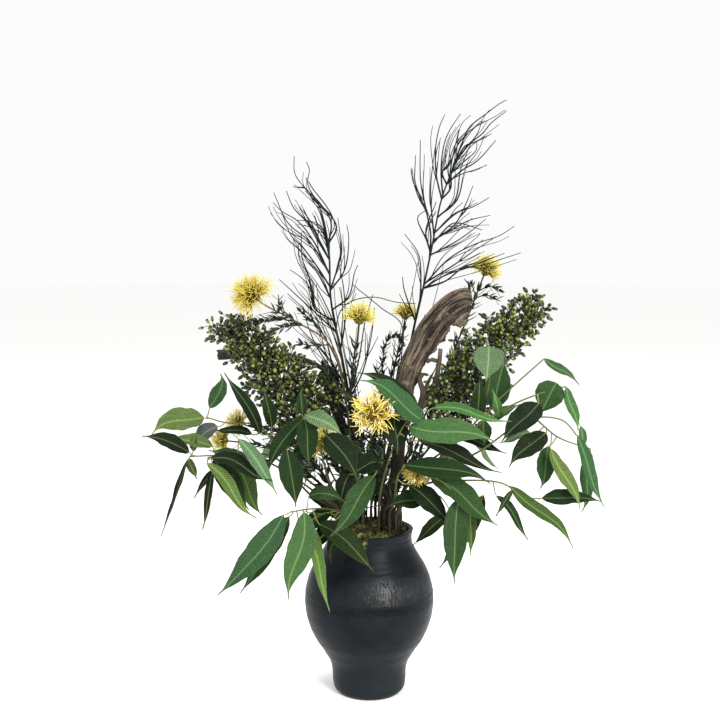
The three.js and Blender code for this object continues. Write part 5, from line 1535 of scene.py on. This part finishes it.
def sheet_moss():
    """Dried moss: a dull mat of tiny leaves, olive to nearly black in patches: partly its own uneven colour, and
    partly painted highlight on its tufts and painted shade between them.
    """
    made, tree, shader, place = new_finish("sheet_moss")
    patches = node(tree, "ShaderNodeTexNoise", {"Vector": place, "Scale": 75.0, "Detail": 6.0, "Roughness": 0.7})
    ramp = node(tree, "ShaderNodeValToRGB", {"Fac": patches})
    # The olive stop is partly painted highlight, and the near-black one partly painted shade.
    ramped(ramp, (0.4, linear("#0f110a")), (0.51, linear("#43451f")), (0.64, linear("#96955a")))
    relief = node(tree, "ShaderNodeBump", {"Height": patches, "Strength": 0.8, "Distance": 0.002})
    plug(shader, {"Base Color": ramp, "Roughness": 0.95, "Specular IOR Level": 0.2, "Normal": relief})
    return made


def floral_foam():
    """Wet phenolic flower foam: green, matt, and full of fine pores."""
    made, tree, shader, place = new_finish("floral_foam")
    # Real pores are about 0.1 mm; these are 0.8 mm, so that they show.
    pores = node(tree, "ShaderNodeTexVoronoi", {"Vector": place, "Scale": 1250.0})
    colour = node(tree, "ShaderNodeMix", {0: pores, 6: linear("#2f4a2a"), 7: linear("#5f7d4a")}, data_type="RGBA")
    relief = node(tree, "ShaderNodeBump", {"Height": pores, "Strength": 0.6, "Distance": 0.0004})
    plug(shader, {"Base Color": colour, "Roughness": 0.95, "Normal": relief})
    return made


def black_stoneware(settings):
    """Thrown stoneware, fired without glaze and burnished: blue-black, matt with a soft sheen, with fine pits and
    grog and throwing rings, hairline cracks in its glossiest patch, and a band of rough dots below it."""
    made, tree, shader, place = new_finish("burnished_black_stoneware")
    parts = node(tree, "ShaderNodeSeparateXYZ", {"Vector": place}).outputs
    clouds = node(tree, "ShaderNodeTexNoise", {"Vector": place, "Scale": 22.0, "Detail": 6.0, "Roughness": 0.6})
    flat = node(tree, "ShaderNodeMapping", {"Vector": place, "Scale": (1.0, 1.0, 6.0)})
    rings = node(tree, "ShaderNodeTexNoise", {"Vector": flat, "Scale": 45.0, "Detail": 5.0})
    grog = node(tree, "ShaderNodeTexNoise", {"Vector": place, "Scale": 620.0, "Detail": 4.0})
    # Hairline cracks round upright flakes of 4 by 22 mm, broken off here and there. Real ones are thinner than the
    # 0.8 mm drawn here, so that they show.
    around = node(tree, "ShaderNodeMath", {0: parts["Y"], 1: parts["X"]}, operation="ARCTAN2")
    wobble = node(tree, "ShaderNodeTexNoise", {"Vector": place, "Scale": 48.0, "Detail": 6.0, "Roughness": 0.6})
    leaning = node(tree, "ShaderNodeMath", {0: wobble, 1: 0.07, 2: around}, operation="MULTIPLY_ADD")
    spread = node(tree, "ShaderNodeCombineXYZ", {"X": leaning, "Y": parts["Z"]})
    flakes = node(tree, "ShaderNodeMapping", {"Vector": spread, "Scale": (24.0, 45.0, 1.0)})
    to_crack = node(tree, "ShaderNodeTexVoronoi", {"Vector": flakes, "Scale": 1.0}, feature="DISTANCE_TO_EDGE")
    lines = node(tree, "ShaderNodeMapRange", {"Value": to_crack, "From Min": 0.0, "From Max": 0.1, **FADING})
    breaks = node(tree, "ShaderNodeTexNoise", {"Vector": place, "Scale": 95.0, "Detail": 2.0})
    whole = node(tree, "ShaderNodeMapRange", {"Value": breaks, "From Min": 0.42, "From Max": 0.5})
    cracks = node(tree, "ShaderNodeMath", {0: lines, 1: whole}, operation="MULTIPLY")
    # The cracked patch is on the widest part of the shoulder, at the front and to its right.
    in_belly = close_to(tree, parts["Z"], 0.182, 0.006, 0.022)
    in_front = close_to(tree, around, -1.15, 0.25, 0.8)
    patch = node(tree, "ShaderNodeMath", {0: in_belly, 1: in_front}, operation="MULTIPLY")
    cracked = node(tree, "ShaderNodeMath", {0: cracks, 1: patch}, operation="MULTIPLY")
    # The dots lie between 144 and 168 mm, and stand out most from 152 to 160 mm.
    dots = node(tree, "ShaderNodeTexVoronoi", {"Vector": flat, "Scale": 210.0})
    ins = {0: dots, 1: close_to(tree, parts["Z"], 0.156, 0.004, 0.012)}
    rough_dots = node(tree, "ShaderNodeMath", ins, operation="MULTIPLY")
    ramp = node(tree, "ShaderNodeValToRGB", {"Fac": clouds})
    clay = list(settings.stoneware_colour)
    ramped(ramp, (0.32, blended(clay, linear("#05070a"), 0.5)), (0.7, blended(clay, linear("#1b2127"), 0.5)))
    brown = node(tree, "ShaderNodeMapRange", {"Value": rings, "From Min": 0.55, "From Max": 0.75, "To Max": 0.35})
    warm = node(tree, "ShaderNodeMix", {0: brown, 6: ramp, 7: linear("#161412")}, data_type="RGBA")
    # The foot is lighter towards the bottom: a little dusty, and painted light bounced up from the floor.
    ends = {"From Min": 0.015, "From Max": 0.12, "To Min": 0.55, "To Max": 0.0}
    dust_and_bounce = node(tree, "ShaderNodeMapRange", {"Value": parts["Z"], **ends})
    dusty_and_bounce_lit = node(tree, "ShaderNodeMix", {0: dust_and_bounce, 6: warm, 7: linear("#1f2427")}, data_type="RGBA")
    thin = node(tree, "ShaderNodeMath", {0: cracked, 1: 0.6}, operation="MULTIPLY")
    lined = node(tree, "ShaderNodeMix", {0: thin, 6: dusty_and_bounce_lit, 7: linear("#020304")}, data_type="RGBA")
    ends = {"From Min": 0.3, "From Max": 0.7, "To Min": 0.3, "To Max": 0.42}
    rough = node(tree, "ShaderNodeMapRange", {"Value": clouds, **ends})
    # It is burnished brightest where it is cracked.
    gloss = node(tree, "ShaderNodeMapRange", {"Value": patch, "To Min": 0.07, "To Max": 0.3})
    ins = {"Height": grog, "Strength": 0.55, "Distance": 0.0004}
    gritty = node(tree, "ShaderNodeBump", ins)
    ins = {"Height": rings, "Strength": 0.55, "Distance": 0.0007, "Normal": gritty}
    ringed = node(tree, "ShaderNodeBump", ins)
    ins = {"Height": rough_dots, "Strength": 1.0, "Distance": 0.0014, "Normal": ringed}
    dotted = node(tree, "ShaderNodeBump", ins)
    ins = {"Height": cracked, "Strength": 1.0, "Distance": 0.0008, "Normal": dotted}
    relief = node(tree, "ShaderNodeBump", ins, invert=True)
    plug(shader, {"Base Color": lined, "Roughness": rough, "Normal": relief})
    plug(shader, {"IOR": 1.5, "Specular IOR Level": gloss})
    return made


def plain_floor(settings):
    """A matt painted studio floor: pale, with hardly any unevenness."""
    made, tree, shader, place = new_finish("studio_floor")
    clouds = node(tree, "ShaderNodeTexNoise", {"Vector": place, "Scale": 1.5, "Detail": 2.0})
    pale = list(settings.floor_colour)
    less_pale = [c * 0.995 for c in pale[:3]] + [1.0]
    colour = node(tree, "ShaderNodeMix", {0: clouds, 6: pale, 7: less_pale}, data_type="RGBA")
    plug(shader, {"Base Color": colour, "Roughness": 0.9})
    return made


# ---------- Settings ----------
class VaseSettings(bpy.types.PropertyGroup):
    sides: bpy.props.IntProperty(name="Sides", description="How many faces go round the vase", default=144, min=24)
    stoneware_colour: bpy.props.FloatVectorProperty(
        name="Stoneware",
        description="Colour of the fired clay",
        subtype="COLOR",
        size=4,
        default=linear("#0b0f13"),
        min=0,
        max=1,
    )
    moss_length: bpy.props.FloatProperty(
        name="Moss length", description="Length of the longest moss blades", unit="LENGTH", default=0.007
    )


class LeafSettings(bpy.types.PropertyGroup):
    leaf_thickness: bpy.props.FloatProperty(
        name="Thickness", description="Thickness of a leaf beside its midrib", unit="LENGTH", default=0.0005
    )
    leaf_light: bpy.props.FloatProperty(
        name="Lightness", description="How light the leaves are compared with their own colours", default=0.8, min=0
    )


class FlowerSettings(bpy.types.PropertyGroup):
    thread_width: bpy.props.FloatProperty(
        name="Thread width", description="Width of a thread at its root", unit="LENGTH", default=0.00095
    )
    head_size: bpy.props.FloatProperty(name="Head size", description="Size of the heads", default=1.0, min=0.1)


class BerrySettings(bpy.types.PropertyGroup):
    berry_size: bpy.props.FloatProperty(
        name="Berry size", description="Diameter of a full berry", unit="LENGTH", default=0.0061
    )
    berry_branches: bpy.props.IntProperty(
        name="Branches", description="How many side branches a spray has", default=84, min=2
    )
    berry_fullness: bpy.props.FloatProperty(
        name="Fullness", description="The part of the places for berries that is taken", default=0.95, min=0, max=1
    )


class StageSettings(bpy.types.PropertyGroup):
    floor_colour: bpy.props.FloatVectorProperty(
        name="Floor",
        description="Colour of the floor",
        subtype="COLOR",
        size=4,
        default=linear("#fdfdfc"),
        min=0,
        max=1,
    )
    floor_radius: bpy.props.FloatProperty(
        name="Floor radius", description="Radius of the round floor", unit="LENGTH", default=14.0
    )
    world_light: bpy.props.FloatProperty(name="Room light", description="Strength of the even light", default=0.97)


# ---------- Operators ----------
# The seed of the first piece of each group; the next ones follow on.
LEAF_SEED = 11
FLOWER_SEED = 41
BERRY_SEED = 71
WAND_SEED = 81


class VaseOperator(bpy.types.Operator):
    """Make the stoneware vase, with the flower foam inside it"""

    bl_idname = "ikebana.vase"
    bl_label = "Vase"

    def execute(self, context):
        settings = context.scene.vase_settings
        mesh = vase_mesh(settings.sides)
        mesh.shade_smooth()
        mesh.materials.append(black_stoneware(settings))
        seated(new_object("thrown_vase", mesh), "stoneware", "vase")
        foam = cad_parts["foam"].data.materials
        foam.clear()
        foam.append(floral_foam())
        return {"FINISHED"}


class MossOperator(bpy.types.Operator):
    """Make the moss in the vase's mouth and the tuft that hangs over its lip"""

    bl_idname = "ikebana.moss"
    bl_label = "Moss"

    def execute(self, context):
        finish = sheet_moss()
        mesh = joined("moss_base", [moss_cushion(), moss_tuft()], finish)
        inputs = {"Length": context.scene.vase_settings.moss_length, "Finish": finish}
        seated(baked("moss_mat", mesh, moss_tree(), inputs), "moss", "moss")
        return {"FINISHED"}


class WoodOperator(bpy.types.Operator):
    """Make the driftwood branch with its prongs, and the strip of bark with its arm"""

    bl_idname = "ikebana.wood"
    bl_label = "Driftwood and bark"

    def execute(self, context):
        parts = [
            knotty(TRUNK, radii=(10, 9), sides=28, seed=1, name="trunk"),
            slab(DRIFTWOOD_TOP, depth=6, thickness=8, seed=2, name="top", ragged=9),
            knotty(PRONG, radii=(5.6, 3.4), sides=18, seed=3, name="prong", ridges=0.2, broken=3),
            knotty(PRONG_STUB, radii=(3.4, 2.6), sides=14, seed=4, name="stub", ridges=0.2, broken=2),
            knotty(SECOND_PRONG, radii=(5.6, 3.4), sides=18, seed=5, name="second", ridges=0.2, broken=3),
        ]
        wood = weathered_wood("weathered_driftwood", "#181412", "#3a332c", "#655a4b", "#6f6350")
        mesh = joined("driftwood_branch", parts, wood)
        seated(new_object("driftwood_branch", mesh), "driftwood", "driftwood")
        parts = [
            knotty(BARK_STEM, radii=(4.4, 6.6), sides=22, seed=6, name="stem"),
            slab(BARK_SHEET, depth=68, thickness=8, seed=7, name="sheet", ragged=7),
            knotty(BARK_ARM, radii=(3.2, 8), sides=18, seed=8, name="arm", ridges=0.22, broken=5),
        ]
        bark = weathered_wood("stripped_bark", "#10130e", "#2a2f26", "#565b49", "#3f3a2c")
        mesh = joined("bark_strip", parts, bark)
        seated(new_object("bark_strip", mesh), "driftwood", "bark")
        return {"FINISHED"}


class LeafOperator(bpy.types.Operator):
    """Make all the leafy stems"""

    bl_idname = "ikebana.leaves"
    bl_label = "Leaves"

    def execute(self, context):
        tree, finishes = growth_tree(), (eucalyptus_leaf(), green_stem("green_leaf_stalk", 0.5, 0.2))
        for i, (name, row) in enumerate(SPRAYS.items()):
            leafy_spray(name, LEAF_SEED + i, row, context.scene.leaf_settings, tree, finishes)
        return {"FINISHED"}


class FlowerOperator(bpy.types.Operator):
    """Make the flowers and their stems"""

    bl_idname = "ikebana.flowers"
    bl_label = "Flowers"

    def execute(self, context):
        finishes = {
            "needle": green_stem("needle_leaf", 0.5, 0.3),
            "stem": green_stem("flower_stalk", 0.65, 0.3),
            # The first colour of each is the threads' root colour, partly painted shade deep in the head.
            "golden": flower_thread("golden_threads", linear("#44380d"), linear("#9c872c"), linear("#c3b453")),
            "yellow": flower_thread("yellow_threads", linear("#4d4211"), linear("#a99838"), linear("#cabf66")),
            "cream": flower_thread("cream_threads", linear("#5a4a15"), linear("#b79f3f"), linear("#dccb70")),
        }
        trees = {"growth": growth_tree(), "head": head_tree()}
        for i, (name, row) in enumerate(FLOWERS.items()):
            flower(name, FLOWER_SEED + i, {**FLOWER, **row}, context.scene.flower_settings, trees, finishes)
        return {"FINISHED"}


class BerryOperator(bpy.types.Operator):
    """Make the two sprays of berries"""

    bl_idname = "ikebana.berries"
    bl_label = "Berries"

    def execute(self, context):
        tree, finishes = berry_tree(), (berry_skin(), green_stem("berry_stalk", 0.6, 0.25))
        for i, (name, row) in enumerate(BERRY_SPRAYS.items()):
            berry_spray(name, BERRY_SEED + i, row, context.scene.berry_settings, tree, finishes)
        return {"FINISHED"}


class WandOperator(bpy.types.Operator):
    """Make the two sprays of bare wands and the loose twigs"""

    bl_idname = "ikebana.wands"
    bl_label = "Wands and twigs"

    def execute(self, context):
        tree = growth_tree()
        wand = green_stem("bare_wand", 0.6, 0.3)
        for i, (name, row) in enumerate(WANDS.items()):
            wand_spray(name, WAND_SEED + i, row, tree, (wand, wand))
        twig = green_stem("dry_twig", 0.75, 0.35)
        for name, row in TWIGS.items():
            loose_twig(name, row, tree, (twig, twig))
        return {"FINISHED"}


FLOOR_SIDES = 96
LIT_POINT = Vector((0, 0, 0.4))  # the middle of the leaves, which all lights face
# Each light: where it stands, its size, its power and its colour.
LIGHTS = {
    "key": ((1.1, -1.9, 1.5), 0.8, 66, "#fffaf2"),
    "fill": ((-1.8, -1.5, 1.3), 1.4, 30, "#f7faff"),
    "low": ((1.15, -1.75, 0.25), 0.8, 24, "#ffffff"),
    "top": ((0.1, 0.3, 2.3), 1.0, 30, "#ffffff"),
}
# The camera has the photograph's viewpoint: its place in metres, its tilt from straight down in degrees, its lens
# and sensor in millimetres, and how far it sees in metres.
CAMERA_PLACE = (-0.0145, -1.7, 0.7165)
CAMERA_TILT = 83.5
CAMERA_LENS = 55.8
CAMERA_SENSOR = 36.0
CAMERA_REACH = 60


class StageOperator(bpy.types.Operator):
    """Make the floor, the lights and the camera"""

    bl_idname = "ikebana.stage"
    bl_label = "Floor, lights and camera"

    def execute(self, context):
        settings = context.scene.stage_settings
        turns = [2 * math.pi * i / FLOOR_SIDES for i in range(FLOOR_SIDES)]
        rim = [Vector((math.cos(turn), math.sin(turn), 0)) for turn in turns]
        mesh = bpy.data.meshes.new("floor")
        mesh.from_pydata([p * settings.floor_radius for p in rim], [], [tuple(range(FLOOR_SIDES))])
        mesh.materials.append(plain_floor(settings))
        new_object("floor", mesh)

        world = bpy.data.worlds.new("studio")
        world.use_nodes = True
        background = world.node_tree.nodes["Background"]
        background.inputs["Color"].default_value = linear("#ffffff")
        background.inputs["Strength"].default_value = settings.world_light
        context.scene.world = world
        context.scene.view_settings.view_transform = "Standard"

        for name, (place, size, power, colour) in LIGHTS.items():
            lamp = bpy.data.lights.new(name, "AREA")
            lamp.size, lamp.energy, lamp.color = size, power, linear(colour)[:3]
            made = bpy.data.objects.new(name, lamp)
            made.location = place
            made.rotation_euler = (LIT_POINT - Vector(place)).to_track_quat("-Z", "Y").to_euler()
            context.scene.collection.objects.link(made)

        camera = bpy.data.cameras.new("camera")
        camera.lens, camera.sensor_width = CAMERA_LENS, CAMERA_SENSOR
        camera.clip_end = CAMERA_REACH
        made = bpy.data.objects.new("camera", camera)
        made.location = CAMERA_PLACE
        made.rotation_euler = (math.radians(CAMERA_TILT), 0, 0)
        context.scene.collection.objects.link(made)
        context.scene.camera = made
        return {"FINISHED"}


class IkebanaPanel(bpy.types.Panel):
    """Lists the sizes, the colours and the operators"""

    bl_idname = "VIEW3D_PT_ikebana"
    bl_label = "Ikebana arrangement"
    bl_space_type = "VIEW_3D"
    bl_region_type = "UI"
    bl_category = "Ikebana"

    def draw(self, context):
        for group, keys in PANEL_ROWS.items():
            box = self.layout.box()
            for key in keys:
                box.prop(getattr(context.scene, group), key)
        for operator in OPERATORS:
            self.layout.operator(operator.bl_idname)


GROUPS = {
    "vase_settings": VaseSettings,
    "leaf_settings": LeafSettings,
    "flower_settings": FlowerSettings,
    "berry_settings": BerrySettings,
    "stage_settings": StageSettings,
}
PANEL_ROWS = {key: list(group.__annotations__) for key, group in GROUPS.items()}
OPERATORS = (
    VaseOperator,
    MossOperator,
    WoodOperator,
    LeafOperator,
    FlowerOperator,
    BerryOperator,
    WandOperator,
    StageOperator,
)


def register():
    for key, group in GROUPS.items():
        bpy.utils.register_class(group)
        setattr(bpy.types.Scene, key, bpy.props.PointerProperty(type=group))
    for kind in (*OPERATORS, IkebanaPanel):
        bpy.utils.register_class(kind)


def unregister():
    for kind in reversed((*OPERATORS, IkebanaPanel)):
        bpy.utils.unregister_class(kind)
    for key, group in GROUPS.items():
        delattr(bpy.types.Scene, key)
        bpy.utils.unregister_class(group)


def main():
    register()
    bpy.ops.ikebana.stage()
    bpy.ops.ikebana.vase()
    bpy.ops.ikebana.moss()
    bpy.ops.ikebana.wood()
    bpy.ops.ikebana.leaves()
    bpy.ops.ikebana.flowers()
    bpy.ops.ikebana.berries()
    bpy.ops.ikebana.wands()


if __name__ == "__main__":
    main()
